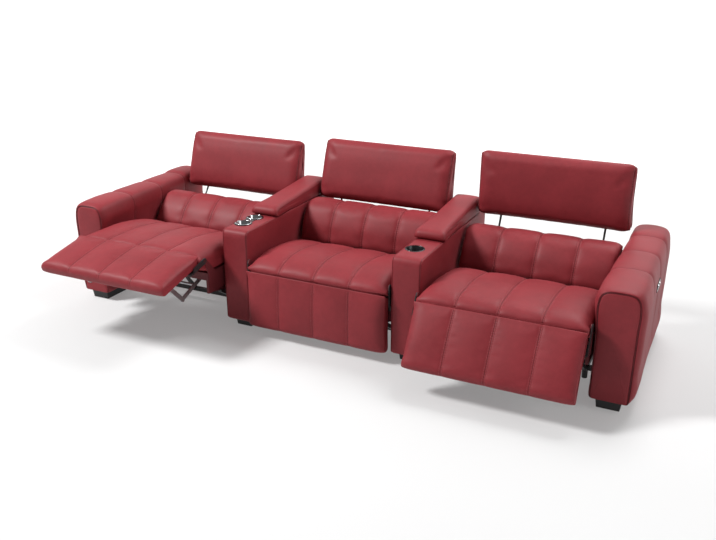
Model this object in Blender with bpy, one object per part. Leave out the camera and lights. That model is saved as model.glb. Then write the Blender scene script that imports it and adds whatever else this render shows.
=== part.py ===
"""Home theater sofa: three powered recliner seats between two arms and two consoles.

Every seat is drawn once, in its closed state, in the seat's own frame: X from the middle
of the seat, Y to the back from the front of the arms, Z up from the floor. Empties on the
joint axes then open each seat as far as it stands open: the left one fully, the middle
one not at all and the right one part of the way.
"""
import math

import bpy
import bmesh
from mathutils import Vector

# Widths, from the middle of the sofa outwards
SEAT_OPENING = 0.866
CONSOLE_WIDTH = 0.161
ARM_WIDTH = 0.185

# Arms
FOOT_HEIGHT = 0.05
ARM_TOP = 0.616
PANEL_TOP = 0.60
ARM_DEPTH = 1.05
ARM_PANEL_THICKNESS = 0.02
ARM_CORNER_RADIUS = 0.045
ARM_BULGE_OUT = 0.022
ARM_BULGE_IN = 0.026
ARM_CROWN = 0.006
ARM_REAR_RISE = 0.010
ARM_SEAM_SHARES = (0.2857, 0.5524, 0.7905)
ARM_INNER_SHARES = (1.0, 0.6, 0.25, 0.12)
ARM_OUTER_SHARES = (1.5, 1.0, 1.0, 1.0)
ARM_SEAM_DEPTH = 0.007
ARM_REAR_ROUND = 0.05
PANEL_BULGE = 0.008
PANEL_EDGE = 0.004
PANEL_EDGE_DEPTH = 0.003

# Feet
ARM_FOOT_WIDTH = 0.12
ARM_FOOT_DEPTH = 0.18
CONSOLE_FOOT_WIDTH = 0.105
CONSOLE_FOOT_DEPTH = 0.13
FOOT_TAPER = 0.006
FOOT_ROOT = 0.004
ARM_FOOT_SETBACK = 0.022
CONSOLE_FOOT_SETBACK = 0.05

# Consoles
CONSOLE_FRONT = 0.02
DECK_HEIGHT = 0.592
DECK_FRONT_ROUND = 0.03
CONSOLE_EDGE = 0.008
DECK_REAR_ROUND = 0.02
CONSOLE_WALL = 0.018
STORAGE_START = 0.36
STORAGE_LENGTH = 0.57
STORAGE_DEPTH = 0.27
LID_FRONT = 0.327
LID_REAR = 0.97
CONSOLE_BEHIND_LID = 0.09
LID_FRONT_THICKNESS = 0.047
LID_SPREAD = 0.0075
LID_SPREAD_LENGTH = 0.17
LID_REAR_THICKNESS = 0.095
LID_EDGE = 0.012
LID_OPEN_SIDE = 0.001
HINGE_BARREL_RADIUS = 0.004
HINGE_LEAF = 0.002
HINGE_LEAF_LENGTH = 0.024
HINGE_SETBACK = 0.0075
HINGE_RISE = 0.003
HINGE_END = 0.02

# Cup holders
CUP_OFFSET = -0.026
STEEL_CUP_Y = (0.153, 0.273)
STEEL_CUP_RADIUS = 0.042
STEEL_CUP_RIM = 0.0465
STEEL_CUP_DEPTH = 0.075
TRAY_RADIUS = 0.051
TRAY_THICKNESS = 0.003
TRAY_NECK = 0.06
DARK_CUP_OFFSET = -0.018
DARK_CUP_Y = 0.178
DARK_CUP_RADIUS = 0.046
DARK_CUP_RIM = 0.052
DARK_CUP_DEPTH = 0.06
CUP_WALL = 0.0015
CUP_RIM_THICKNESS = 0.0025
CUP_SIDES = 20

# Control panels
CONTROL_LENGTH = 0.108
CONTROL_HEIGHT = 0.042
CONTROL_DEPTH = 0.013
CONTROL_PROUD = 0.002
ARM_CONTROL_Y = 0.50
ARM_CONTROL_Z = 0.48
BUTTON_RADIUS = 0.0115
BUTTON_LENGTH = 0.009
BUTTON_PROUD = 0.002
BUTTON_PITCH = 0.044
BUTTON_TRAVEL = 0.0015

# Motion of one seat, from closed to fully open
SLIDE_RUN = 0.17
SLIDE_RISE = 0.035
FOOTREST_SWING = 76.5
RECLINE_SWING = 20.5
HEADREST_LIFT = 0.105
HEADREST_TILT = 25.0

# Joint axes of one closed seat, as (y, z)
FOOTREST_AXIS = (0.025, 0.42)
RECLINE_AXIS = (0.52, 0.19)
LIFT_AXIS = (0.15, 0.29)
BRACKET_AXIS = (0.055, 0.19)

# Seat cushion and footrest
CUSHION_SIDE_GAP = 0.014
SEAT_BOTTOM = 0.336
SEAT_CROWN = 0.468
SEAT_REAR = 0.547
NOSE_RADIUS = 0.053
FOOTREST_ARC = 0.0558
FOOTREST_BACK = 0.034
FOOTREST_BOTTOM = 0.057
FOOTREST_FRONT = -0.038
FOOTREST_FACE = ((0.022, 0.0), (0.003, 0.014), (-0.002, 0.06), (-0.003, 0.143), (0.003, 0.243),
                 (0.009, 0.298), (0.020, 0.323))
FOOTREST_GIVES = (0.4, 0.8, 1.0, 1.0, 0.9, 0.4, -1.0)
NOSE_GIVES = ((0.5, 1.0), (0.35, 0.8), (0.2, 0.5), (-1.0, -1.0))
RISE_CLOSED = ((-0.013, 0.418), (0.024, 0.442))
RISE_OPEN = ((0.002, 0.460), (0.034, 0.467))
SEAT_TOP_Y = (0.10, 0.23, 0.36)
SEAT_SAG = 0.004
SEAT_FALL = (0.015, 0.048, 0.068, 0.092)
CHANNELS = 4
CHANNEL_DEPTH = 0.012
SIDE_DRAW = 0.006
SEAT_EDGE = 0.060
SEAT_REACH = 0.09
PAD_EDGE = 0.042
PAD_REACH = 0.08
BACK_EDGE = 0.026
BACK_REACH = 0.04
PAD_DRAW = 0.003
END_STEP = 0.002
END_GIVE = 0.2
HELD_GIVE = 0.06

# Back cushion, back shell and headrest
LEAN = 17.3
BACK_SIDE_GAP = 0.017
BACK_DRAW = 0.004
BACK_FACE = ((0.598, 0.370), (0.578, 0.377), (0.566, 0.400), (0.573, 0.445), (0.585, 0.495),
             (0.611, 0.545), (0.641, 0.588), (0.684, 0.612), (0.735, 0.616), (0.782, 0.607), (0.800, 0.592))
BACK_CONTACT = (0.585, 0.40)
BACK_HEEL = 0.018
SHELL_FRONT_Y = 0.795
SHELL_FRONT_Z = 0.59
SHELL_THICKNESS = 0.130
SHELL_BOTTOM = 0.26
SHELL_TOP_GAP = 0.026
SHELL_SIDE_GAP = 0.029
SHELL_ACROSS = -0.0995
SHELL_ARM_RADIUS = 0.022
SHELL_ARM_THICKNESS = 0.008
HEADREST_SIDE_GAP = 0.0045
HEADREST_HEIGHT = 0.366
HEADREST_FRONT = 0.073
HEADREST_REAR = 0.052
HEADREST_AXIS = (0.906, 0.605)
HEADREST_AXIS_HEIGHT = 0.03
HEADREST_EDGE = 0.036
HEADREST_REACH = 0.05
HEADREST_CORNER = 0.020
HEADREST_SLOT_PLAY = 0.0014
CROSSBAR_RADIUS = 0.008
CROSSBAR_END_GAP = 0.0685
POST_RADIUS = 0.006
POST_SIDE_GAP = 0.1335
POST_LENGTH = 0.31
POST_CLEARANCE = 0.0006

# Steelwork of one seat
BOX_FRONT = 0.056
BOX_REAR = 0.52
BOX_WALL = 0.0145
BOX_BOTTOM = 0.215
BOX_DECK = 0.02
FRONT_RAIL_HEIGHT = 0.045
EAR_THICKNESS = 0.004
EAR_RADIUS = 0.017
RECLINE_BOSS_RADIUS = 0.026
PIN_RADIUS = 0.005
PIN_CLEARANCE = 0.0004
LINK_THICKNESS = 0.006
LINK_WIDTH = 0.024
LINK_INSET = 0.0275
HANGER_HALF_WIDTH = 0.03
BRACKET_HALF_HEIGHT = 0.022
LINK_GAP = 0.0005
CROSS_BAR_RADIUS = 0.008
LIFT_BAR_SHARE = 0.45
PUSH_BAR_SHARE = 0.62
RAIL_SIDE_GAP = 0.083
RAIL_WIDTH = 0.025
RAIL_FRONT = 0.06
RAIL_REAR = 0.60
RAIL_FRONT_HEIGHT = 0.2132
RAIL_POST_Y = 0.285
BRACE_FRONT = 0.118
BRACE_HEIGHT = 0.026
RAIL_WINDOW_END = 0.47
GLIDE_SETBACK = 0.017
SHOE_START = 0.14
SHOE_END = 0.46
SHOE_THICKNESS = 0.008
SHOE_LIP = 0.010
SHOE_LIP_THICKNESS = 0.004
WEB_THICKNESS = 0.011
TUBE = 0.025
GLIDE_RADIUS = 0.015
GLIDE_HEIGHT = 0.045
CROSS_TUBE_Y = (0.302, 0.5875)
TRACK_HEAD_Y = 0.225
TRACK_POST_WIDTH = 0.020
TRACK_POST_DEPTH = 0.016
TRACK_RADIUS = 0.009
TRACK_REAR = (0.56, 0.105)
TRACK_LENGTH = 0.35
COLLAR_RADIUS = 0.018
COLLAR_LENGTH = 0.04
COLLAR_Y = 0.45
STEM_WIDTH = 0.012
STEM_DEPTH = 0.024
GEARBOX = (0.06, 0.05, 0.066)
MOTOR_RADIUS = 0.026
MOTOR_LENGTH = 0.11
MOTOR_AHEAD = 0.006
GEARBOX_AHEAD = 0.008
BOARD_THICKNESS = 0.008
BOARD_TOP = 0.34
BOARD_BOTTOM = 0.10
BOARD_SHOULDER = 0.285
BOARD_INSET = 0.05

GAP = 0.0003
RUNNING = 0.0005

# Each seat: side name, place in the row, how far it stands open and how its headrest stands
SEATS = (
    ("left", -1, FOOTREST_SWING, HEADREST_LIFT, 21.0, 1.0),
    ("middle", 0, 0.0, 0.0, 0.0, 0.0),
    ("right", 1, 30.4, 0.088, HEADREST_TILT, 0.6),
)

SEAT_PITCH = SEAT_OPENING + CONSOLE_WIDTH
CONSOLE_X = (SEAT_OPENING + CONSOLE_WIDTH) / 2
ARM_INNER = SEAT_OPENING * 1.5 + CONSOLE_WIDTH
ARM_SEAMS = tuple(ARM_DEPTH * share for share in ARM_SEAM_SHARES)
CONSOLE_REAR = LID_REAR + CONSOLE_BEHIND_LID
CUSHION_HALF = SEAT_OPENING / 2 - CUSHION_SIDE_GAP
BACK_HALF = SEAT_OPENING / 2 - BACK_SIDE_GAP
SHELL_HALF = SEAT_OPENING / 2 - SHELL_SIDE_GAP
HEADREST_HALF = SEAT_OPENING / 2 - HEADREST_SIDE_GAP
CROSSBAR_HALF = HEADREST_HALF - CROSSBAR_END_GAP
POST_X = HEADREST_HALF - POST_SIDE_GAP
RAIL_X = SEAT_OPENING / 2 - RAIL_SIDE_GAP
LINK_X = RAIL_X - LINK_INSET
BOX_HALF = CUSHION_HALF + GAP + RUNNING
DECK_TOP = SEAT_BOTTOM - GAP


def clear_scene():
    for obj in list(bpy.data.objects):
        bpy.data.objects.remove(obj, do_unlink=True)
    for mesh in list(bpy.data.meshes):
        bpy.data.meshes.remove(mesh)


def material(name, colour, roughness, metallic=0.0):
    mat = bpy.data.materials.new(name)
    mat.use_nodes = True
    shader = mat.node_tree.nodes["Principled BSDF"]
    shader.inputs["Base Color"].default_value = (*colour, 1.0)
    shader.inputs["Roughness"].default_value = roughness
    shader.inputs["Metallic"].default_value = metallic
    return mat


def empty(name, location, parent=None, turn_x=0.0):
    guide = bpy.data.objects.new(name, None)
    bpy.context.collection.objects.link(guide)
    guide.location = location
    guide.rotation_euler = (math.radians(turn_x), 0.0, 0.0)
    guide.parent = parent
    return guide


def mesh_from(verts, faces, name):
    mesh = bpy.data.meshes.new(name)
    mesh.from_pydata([tuple(v) for v in verts], [], faces)
    work = bmesh.new()
    work.from_mesh(mesh)
    bmesh.ops.recalc_face_normals(work, faces=work.faces)
    if work.calc_volume(signed=True) < 0:
        bmesh.ops.reverse_faces(work, faces=work.faces)
    work.to_mesh(mesh)
    work.free()
    return mesh


def skin(rings, name):
    """Skin a row of equal loops and close both ends with a flat face."""
    count = len(rings[0])
    verts = [point for ring in rings for point in ring]
    faces = []
    for row in range(len(rings) - 1):
        base = row * count
        for i in range(count):
            j = (i + 1) % count
            faces.append((base + i, base + j, base + count + j, base + count + i))
    faces.append(tuple(reversed(range(count))))
    last = (len(rings) - 1) * count
    faces.append(tuple(last + i for i in range(count)))
    return mesh_from(verts, faces, name)


def slab_x(outline, x0, x1, name="slab"):
    """Extrude a (y, z) outline along X."""
    rings = [[(x, y, z) for y, z in outline] for x in (x0, x1)]
    return skin(rings, name)


def block(low, high, name="block"):
    outline = [(low[1], low[2]), (high[1], low[2]), (high[1], high[2]), (low[1], high[2])]
    return slab_x(outline, low[0], high[0], name)


def rod(start, end, radius, sides=12, name="rod"):
    """A round bar between two points."""
    start, end = Vector(start), Vector(end)
    along = (end - start).normalized()
    across = along.orthogonal().normalized()
    other = along.cross(across)
    rings = []
    for centre in (start, end):
        ring = []
        for i in range(sides):
            angle = 2 * math.pi * (i + 0.5) / sides
            ring.append(centre + radius * (math.cos(angle) * across + math.sin(angle) * other))
        rings.append(ring)
    return skin(rings, name)


def lathe(profile, centre, sides, name):
    """Turn a closed (radius, z) profile round a vertical axis."""
    work = bmesh.new()
    points = [work.verts.new((r, 0.0, z)) for r, z in profile]
    edges = [work.edges.new((points[i], points[i - 1])) for i in range(len(points))]
    bmesh.ops.spin(work, geom=points + edges, cent=(0, 0, 0), axis=(0, 0, 1),
                   angle=2 * math.pi, steps=sides, use_merge=True)
    bmesh.ops.remove_doubles(work, verts=work.verts, dist=1e-6)
    bmesh.ops.translate(work, verts=work.verts, vec=centre)
    bmesh.ops.recalc_face_normals(work, faces=work.faces)
    mesh = bpy.data.meshes.new(name)
    work.to_mesh(mesh)
    work.free()
    return mesh


def combine(base, others, operation):
    """Join meshes to a base mesh, or cut them from it, one after the other."""
    body = bpy.data.objects.new("work_body", base)
    bpy.context.collection.objects.link(body)
    tools = []
    for other in others:
        tool = bpy.data.objects.new("work_tool", other)
        bpy.context.collection.objects.link(tool)
        boolean = body.modifiers.new("boolean", "BOOLEAN")
        boolean.operation = operation
        boolean.solver = "EXACT"
        boolean.object = tool
        tools.append(tool)
    graph = bpy.context.evaluated_depsgraph_get()
    result = bpy.data.meshes.new_from_object(body.evaluated_get(graph))
    for used in [body] + tools:
        bpy.data.objects.remove(used, do_unlink=True)
    return result


def union(meshes):
    return combine(meshes[0], meshes[1:], "UNION")


def cut(base, cutters):
    return combine(base, cutters, "DIFFERENCE")


def mirrored(mesh):
    """A copy of a mesh on the other side of the seat's middle plane."""
    work = bmesh.new()
    work.from_mesh(mesh)
    bmesh.ops.scale(work, verts=work.verts, vec=(-1, 1, 1))
    bmesh.ops.reverse_faces(work, faces=work.faces)
    copy = bpy.data.meshes.new(mesh.name)
    work.to_mesh(copy)
    work.free()
    return copy


def both_sides(meshes):
    return meshes + [mirrored(mesh) for mesh in meshes]


def add(name, mesh, mat, parent, axis=(0.0, 0.0, 0.0), sharp=40.0):
    """Make the named object; its parent stands on the axis that the mesh turns about."""
    mesh.name = name
    mesh.materials.clear()
    mesh.materials.append(mat)
    mesh.shade_smooth()
    mesh.set_sharp_from_angle(angle=math.radians(sharp))
    obj = bpy.data.objects.new(name, mesh)
    bpy.context.collection.objects.link(obj)
    obj.parent = parent
    obj.location = (-axis[0], -axis[1], -axis[2])
    return obj


def arc(centre, radius, start, end, steps):
    """Points on a circle in (y, z), from one angle in degrees to another."""
    points = []
    for i in range(steps + 1):
        angle = math.radians(start + (end - start) * i / steps)
        points.append((centre[0] + radius * math.cos(angle), centre[1] + radius * math.sin(angle)))
    return points


def blend(a, b, share):
    return tuple(p + (q - p) * share for p, q in zip(a, b))


def leaning(across, along, origin=HEADREST_AXIS):
    """A point given across and along the headrest posts, from their top."""
    lean = math.radians(LEAN)
    y = origin[0] + across * math.cos(lean) + along * math.sin(lean)
    z = origin[1] - across * math.sin(lean) + along * math.cos(lean)
    return (y, z)


def inset_point(outline, index, depth, least):
    """Move an outline point into the form, square to its neighbours, by its give.

    A give below zero keeps the point close to where it is.
    """
    y, z, give = outline[index]
    give = HELD_GIVE if give < 0 and least > 0 else max(give, least)
    before = outline[index - 1]
    after = outline[(index + 1) % len(outline)]
    along = Vector((after[0] - before[0], after[1] - before[1]))
    along.normalize()
    return (y - along[1] * depth * give, z + along[0] * depth * give)


def cushion(name, outline, half, channels, groove, draw, edge, reach):
    """A padded form with sewn channels across it and sides drawn in between the corners.

    The outline runs anticlockwise in (y, z) when seen from -X; the third number of each
    point is its give, which says how far the seams pull it in.
    """
    ys = [p[0] for p in outline]
    zs = [p[1] for p in outline]
    tall = max(zs) - min(zs) > max(ys) - min(ys)
    values = zs if tall else ys
    low, span = min(values), max(values) - min(values)
    drawn = [draw * math.sin(math.pi * (v - low) / span) for v in values]
    end = [(half - draw - END_STEP, edge, 0.0, END_GIVE), (half, 0.62 * edge, 1.0, END_GIVE),
           (half - 0.25 * reach, 0.26 * edge, 0.5, END_GIVE),
           (half - 0.58 * reach, 0.07 * edge, 0.0, END_GIVE), (half - reach, 0.0, 0.0, 0.0)]
    stations = list(end)
    width = 2 * half / channels
    for channel in range(channels):
        left = half - channel * width
        if channel > 0:
            stations += [(left, groove, 0.0, 0.0), (left - 0.18 * width, 0.15 * groove, 0.0, 0.0)]
        if channels == 1:
            stations.append((0.0, 0.0, 0.0, 0.0))
        if channel < channels - 1:
            stations.append((left - 0.82 * width, 0.15 * groove, 0.0, 0.0))
    stations += [(-x, depth, pull, least) for x, depth, pull, least in reversed(end)]
    rings = []
    for x, depth, pull, least in stations:
        ring = []
        for i in range(len(outline)):
            y, z = inset_point(outline, i, depth, least)
            ring.append((x - math.copysign(pull * drawn[i], x), y, z))
        rings.append(ring)
    return skin(rings, name)


def seat_outline(filled):
    """The seat cushion from the side; its nose fills out as the footrest opens."""
    nose = arc(FOOTREST_AXIS, NOSE_RADIUS, 205 - 55 * filled, 276, 3)
    rise = [blend(low, high, filled) for low, high in zip(RISE_CLOSED, RISE_OPEN)]
    top = [(SEAT_TOP_Y[0], SEAT_CROWN - SEAT_SAG * (1 - filled)), (SEAT_TOP_Y[1], SEAT_CROWN),
           (SEAT_TOP_Y[2], SEAT_CROWN - SEAT_FALL[0]), (SEAT_REAR - 0.05, SEAT_CROWN - SEAT_FALL[1]),
           (SEAT_REAR - 0.010, SEAT_CROWN - SEAT_FALL[2]), (SEAT_REAR, SEAT_CROWN - SEAT_FALL[3])]
    bottom = [(SEAT_REAR - 0.018, SEAT_BOTTOM), (BOX_FRONT + 0.012, SEAT_BOTTOM),
              (BOX_FRONT - 0.007, SEAT_BOTTOM + 0.010), (BOX_FRONT - 0.010, SEAT_BOTTOM + 0.028)]
    gives = [hanging + (raised - hanging) * filled for hanging, raised in NOSE_GIVES]
    points = [(*at, give) for at, give in zip(nose, gives)]
    points += [(*bottom[-1], -1.0)] + [(y, z, 0.0) for y, z in reversed(bottom[:-1])]
    points += [(y, z, 1.0) for y, z in reversed(top)]
    points += [(y, z, 1.0) for y, z in reversed(rise)]
    return points


def footrest_outline():
    """The footrest pad, hanging closed, with a hollow top edge round its hinge."""
    hollow = arc(FOOTREST_AXIS, FOOTREST_ARC, 217, 276, 3)
    back = [(FOOTREST_BACK, FOOTREST_BOTTOM + 0.020), (FOOTREST_BACK - 0.008, FOOTREST_BOTTOM + 0.004)]
    front = [(FOOTREST_FRONT + y, FOOTREST_BOTTOM + z) for y, z in FOOTREST_FACE]
    points = [(*at, give) for at, give in zip(front, FOOTREST_GIVES)]
    points += [(y, z, -1.0) for y, z in hollow]
    points += [(y, z, 0.0) for y, z in back]
    points.reverse()
    return points


def shell_line(z):
    """Where the front of the back shell lies at a height."""
    return SHELL_FRONT_Y + math.tan(math.radians(LEAN)) * (z - SHELL_FRONT_Z)


def back_outline():
    """The back cushion from the side: a thick lumbar pad with a rounded top."""
    rear = [(shell_line(z) - GAP, z) for z in BACK_CONTACT]
    rear.append((shell_line(BACK_CONTACT[1]) - BACK_HEEL, BACK_FACE[0][1]))
    points = [(y, z, 1.0) for y, z in BACK_FACE[1:-1]]
    points = [(*BACK_FACE[0], 0.0)] + points + [(*BACK_FACE[-1], 0.0)]
    points += [(y, z, 0.0) for y, z in rear]
    points.reverse()
    return points


def headrest_outline():
    """The headrest from the side, with a slot below for its bracket's crossbar."""
    front = -HEADREST_FRONT
    rear = HEADREST_REAR
    low = -HEADREST_AXIS_HEIGHT
    high = low + HEADREST_HEIGHT
    slot_radius = CROSSBAR_RADIUS + HEADREST_SLOT_PLAY
    swing = HEADREST_AXIS_HEIGHT * math.tan(math.radians(HEADREST_TILT + 3))
    slot = [(-slot_radius - swing, low)]
    slot += [(-p[0], p[1]) for p in arc((0.0, 0.0), slot_radius, 0, 180, 4)]
    slot.append((slot_radius, low))
    corner = HEADREST_CORNER
    points = [(*p, -1.0) for p in slot]
    points += [(rear - corner, low, 0.6), (rear - 0.004, low + 0.012, 1.0), (rear, low + 0.045, 1.0),
               (rear - 0.012, 0.10, 1.0), (rear - 0.030, 0.20, 0.8), (rear - 0.050, high - 0.042, 0.5),
               (rear - 0.060, high - 0.016, 0.35), (rear - 0.078, high - 0.002, 0.5),
               (front + 0.030, high, 0.8), (front + 0.008, high - 0.020, 0.8),
               (front - 0.002, high - 0.07, 1.0), (front - 0.006, 0.15, 1.0),
               (front - 0.002, low + 0.05, 1.0),
               (front + 0.006, low + 0.014, 1.0), (front + corner, low, 0.6)]
    return [(*leaning(p[0], p[1]), p[2]) for p in points]


def rail_top(y):
    return RAIL_FRONT_HEIGHT - (y - RAIL_FRONT) * SLIDE_RISE / SLIDE_RUN


def pin(x0, x1, at, radius=PIN_RADIUS):
    return rod((x0, *at), (x1, *at), radius, 10)


def eye(x0, x1, at):
    """The cutter for a round eye that turns on a pin."""
    return pin(x0, x1, at, PIN_RADIUS + PIN_CLEARANCE)


def link(x, start, end, thickness=LINK_THICKNESS):
    """A flat steel link with round ends."""
    angle = math.degrees(math.atan2(end[1] - start[1], end[0] - start[0]))
    outline = arc(end, LINK_WIDTH / 2, angle - 90, angle + 90, 4)
    outline += arc(start, LINK_WIDTH / 2, angle + 90, angle + 270, 4)
    return slab_x(outline, x, x + thickness, "link")


LINK_OUTER = LINK_X + LINK_THICKNESS
PUSH_X = LINK_OUTER + LINK_GAP
PUSH_OUTER = PUSH_X + LINK_THICKNESS
BRACKET_X = PUSH_OUTER + LINK_GAP
HANGER_X = LINK_X - LINK_GAP - LINK_THICKNESS
LINK_END = (LIFT_AXIS[0] + BRACKET_AXIS[0] - FOOTREST_AXIS[0],
            LIFT_AXIS[1] + BRACKET_AXIS[1] - FOOTREST_AXIS[1])
EAR_X = BOX_HALF + EAR_THICKNESS


def seat_frame():
    """The seat box on its slide shoes, with the ears and hangers of every joint."""
    deck = block((-BOX_HALF + 0.001, BOX_FRONT + 0.001, DECK_TOP - BOX_DECK),
                 (BOX_HALF - 0.001, BOX_REAR - 0.001, DECK_TOP))
    front = block((-BOX_HALF + 0.002, BOX_FRONT, DECK_TOP - FRONT_RAIL_HEIGHT),
                  (BOX_HALF - 0.002, BOX_FRONT + BOX_WALL, DECK_TOP - 0.001))
    y, z = RECLINE_AXIS
    wall_outline = [(BOX_FRONT - 0.001, BOX_BOTTOM), (y - 0.06, BOX_BOTTOM),
                    (y - RECLINE_BOSS_RADIUS, z - 0.012)]
    wall_outline += arc(RECLINE_AXIS, RECLINE_BOSS_RADIUS, -120, 20, 4)
    wall_outline += [(y + 0.012, DECK_TOP - 0.04), (y, DECK_TOP - 0.0005),
                     (BOX_FRONT - 0.001, DECK_TOP - 0.0005)]
    wall = slab_x(wall_outline, BOX_HALF - BOX_WALL, BOX_HALF)
    recline_pin = pin(BOX_HALF - BOX_WALL - 0.012, BOX_HALF - 0.004, RECLINE_AXIS)
    fy, fz = FOOTREST_AXIS
    ear_outline = arc(FOOTREST_AXIS, EAR_RADIUS, 40, 215, 4)
    ear_outline += [(fy + 0.014, fz - 0.030), (BOX_FRONT + 0.002, DECK_TOP - 0.010),
                    (BOX_FRONT + 0.004, BOX_BOTTOM + 0.05), (BOX_FRONT + 0.09, BOX_BOTTOM + 0.05),
                    (BOX_FRONT + 0.09, DECK_TOP - 0.03)]
    ear = slab_x(ear_outline, BOX_HALF - 0.0002, EAR_X)
    footrest_pin = pin(EAR_X - 0.002, EAR_X + LINK_GAP + EAR_THICKNESS, FOOTREST_AXIS)
    ly = LIFT_AXIS[0]
    hanger_outline = arc(LIFT_AXIS, LINK_WIDTH / 2, 180, 360, 4)
    root_z = DECK_TOP - BOX_DECK + 0.002
    hanger_outline += [(ly + HANGER_HALF_WIDTH, root_z), (ly - HANGER_HALF_WIDTH, root_z)]
    hanger = slab_x(hanger_outline, HANGER_X, HANGER_X + LINK_THICKNESS)
    lift_pin = pin(HANGER_X + 0.002, LINK_OUTER, LIFT_AXIS)
    shoe_low = [(yy, rail_top(yy) + RUNNING) for yy in (SHOE_START, SHOE_END)]
    shoe_outline = shoe_low + [(SHOE_END, shoe_low[1][1] + SHOE_THICKNESS),
                               (SHOE_START, shoe_low[0][1] + SHOE_THICKNESS)]
    lip_outline = [(SHOE_START, shoe_low[0][1] - SHOE_LIP), (SHOE_END, shoe_low[1][1] - SHOE_LIP),
                   (SHOE_END, shoe_low[1][1] + 0.004), (SHOE_START, shoe_low[0][1] + 0.004)]
    web_outline = [(SHOE_START + 0.01, shoe_low[0][1] + 0.003), (SHOE_END - 0.01, shoe_low[1][1] + 0.003),
                   (SHOE_END - 0.01, DECK_TOP - BOX_DECK + 0.003),
                   (SHOE_START + 0.01, DECK_TOP - BOX_DECK + 0.003)]
    lip = SHOE_LIP_THICKNESS
    inner = RAIL_X - RUNNING
    outer = RAIL_X + RAIL_WIDTH + RUNNING
    shoe = slab_x(shoe_outline, inner - lip + 0.0005, outer + lip - 0.0005)
    lips = [slab_x(lip_outline, inner - lip, inner), slab_x(lip_outline, outer, outer + lip)]
    web_x = RAIL_X + (RAIL_WIDTH - WEB_THICKNESS) / 2
    web = slab_x(web_outline, web_x, web_x + WEB_THICKNESS)
    side = [wall, recline_pin, ear, footrest_pin, hanger, lift_pin, shoe] + lips + [web]
    centre = track_point(COLLAR_Y)
    half_along = COLLAR_LENGTH / 2
    collar = rod(track_point(COLLAR_Y + half_along), track_point(COLLAR_Y - half_along),
                 COLLAR_RADIUS, 12)
    stem = block((-STEM_WIDTH / 2, COLLAR_Y - STEM_DEPTH / 2, centre[2] + TRACK_RADIUS + 0.004),
                 (STEM_WIDTH / 2, COLLAR_Y + STEM_DEPTH / 2, DECK_TOP - BOX_DECK + 0.004))
    body = union([deck, front, collar, stem] + both_sides(side))
    bore = rod(track_point(COLLAR_Y + 0.05), track_point(COLLAR_Y - 0.05), TRACK_RADIUS + RUNNING, 12)
    return cut(body, [bore])


def track_point(y):
    return (0.0, y, TRACK_REAR[1] + (TRACK_REAR[0] - y) * SLIDE_RISE / SLIDE_RUN)


def base_frame():
    """The frame on the floor: two sloping rails tied by cross tubes, on round glides."""
    low = GLIDE_HEIGHT
    outline = [(RAIL_POST_Y, low), (RAIL_REAR, low), (RAIL_REAR, rail_top(RAIL_REAR)),
               (RAIL_FRONT, rail_top(RAIL_FRONT)), (RAIL_FRONT, rail_top(RAIL_FRONT) - TUBE)]
    rail = slab_x(outline, RAIL_X, RAIL_X + RAIL_WIDTH)
    start, end = RAIL_POST_Y + TUBE, RAIL_WINDOW_END
    behind_brace = RAIL_POST_Y - 0.004
    windows = [[(behind_brace, low + BRACE_HEIGHT), (behind_brace, rail_top(behind_brace) - TUBE),
                (BRACE_FRONT, rail_top(BRACE_FRONT) - TUBE)],
               [(start, low + TUBE), (end, low + TUBE), (end, rail_top(end) - TUBE),
                (start, rail_top(start) - TUBE)]]
    cutters = [slab_x(w, RAIL_X - 0.01, RAIL_X + RAIL_WIDTH + 0.01) for w in windows]
    rail = cut(rail, cutters)
    glides = []
    for y in (RAIL_POST_Y + GLIDE_SETBACK, RAIL_REAR - GLIDE_SETBACK):
        x = RAIL_X + RAIL_WIDTH / 2
        glides.append(rod((x, y, 0.0), (x, y, low + 0.004), GLIDE_RADIUS, 8))
    half = SEAT_OPENING / 2 - GAP
    tubes = []
    for y in CROSS_TUBE_Y:
        tubes.append(block((-half, y - TUBE / 2 + 0.0005, low + 0.001),
                           (half, y + TUBE / 2 - 0.0005, low + TUBE - 0.001)))
    y = CROSS_TUBE_Y[0]
    half_depth = TRACK_POST_DEPTH / 2
    head = [(end, track_point(end)[2] - TRACK_RADIUS * 1.03 - GAP)
            for end in (TRACK_HEAD_Y + half_depth, TRACK_HEAD_Y - half_depth)]
    post = slab_x([(y - half_depth, low + 0.003), (y + half_depth, low + 0.003), (y + half_depth, low + TUBE)]
                  + head, -TRACK_POST_WIDTH / 2, TRACK_POST_WIDTH / 2)
    return union(tubes + [post] + both_sides([rail] + glides))


def actuator():
    """The motor and gearbox on the rear tube, and the screw track that runs forward."""
    rear = Vector(track_point(TRACK_REAR[0]))
    front = Vector(track_point(TRACK_REAR[0] - TRACK_LENGTH))
    track = rod(rear, front, TRACK_RADIUS, 12)
    y = CROSS_TUBE_Y[1]
    bottom = GLIDE_HEIGHT + TUBE - 0.001 + GAP
    width, depth, height = GEARBOX
    box_y = y - GEARBOX_AHEAD
    box = block((-width / 2, box_y - depth / 2, bottom), (width / 2, box_y + depth / 2, bottom + height))
    motor_z = bottom + height / 2
    motor_y = y - MOTOR_AHEAD
    motor = rod((width / 2 - 0.004, motor_y, motor_z), (width / 2 + MOTOR_LENGTH, motor_y, motor_z),
                MOTOR_RADIUS, 16)
    return union([box, track, motor])


def cross_bar(x, start, end, share, radius=CROSS_BAR_RADIUS):
    """The bar that ties the left and the right link of a pair together."""
    at = blend(start, end, share)
    return rod((-x, *at), (x, *at), radius)


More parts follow.
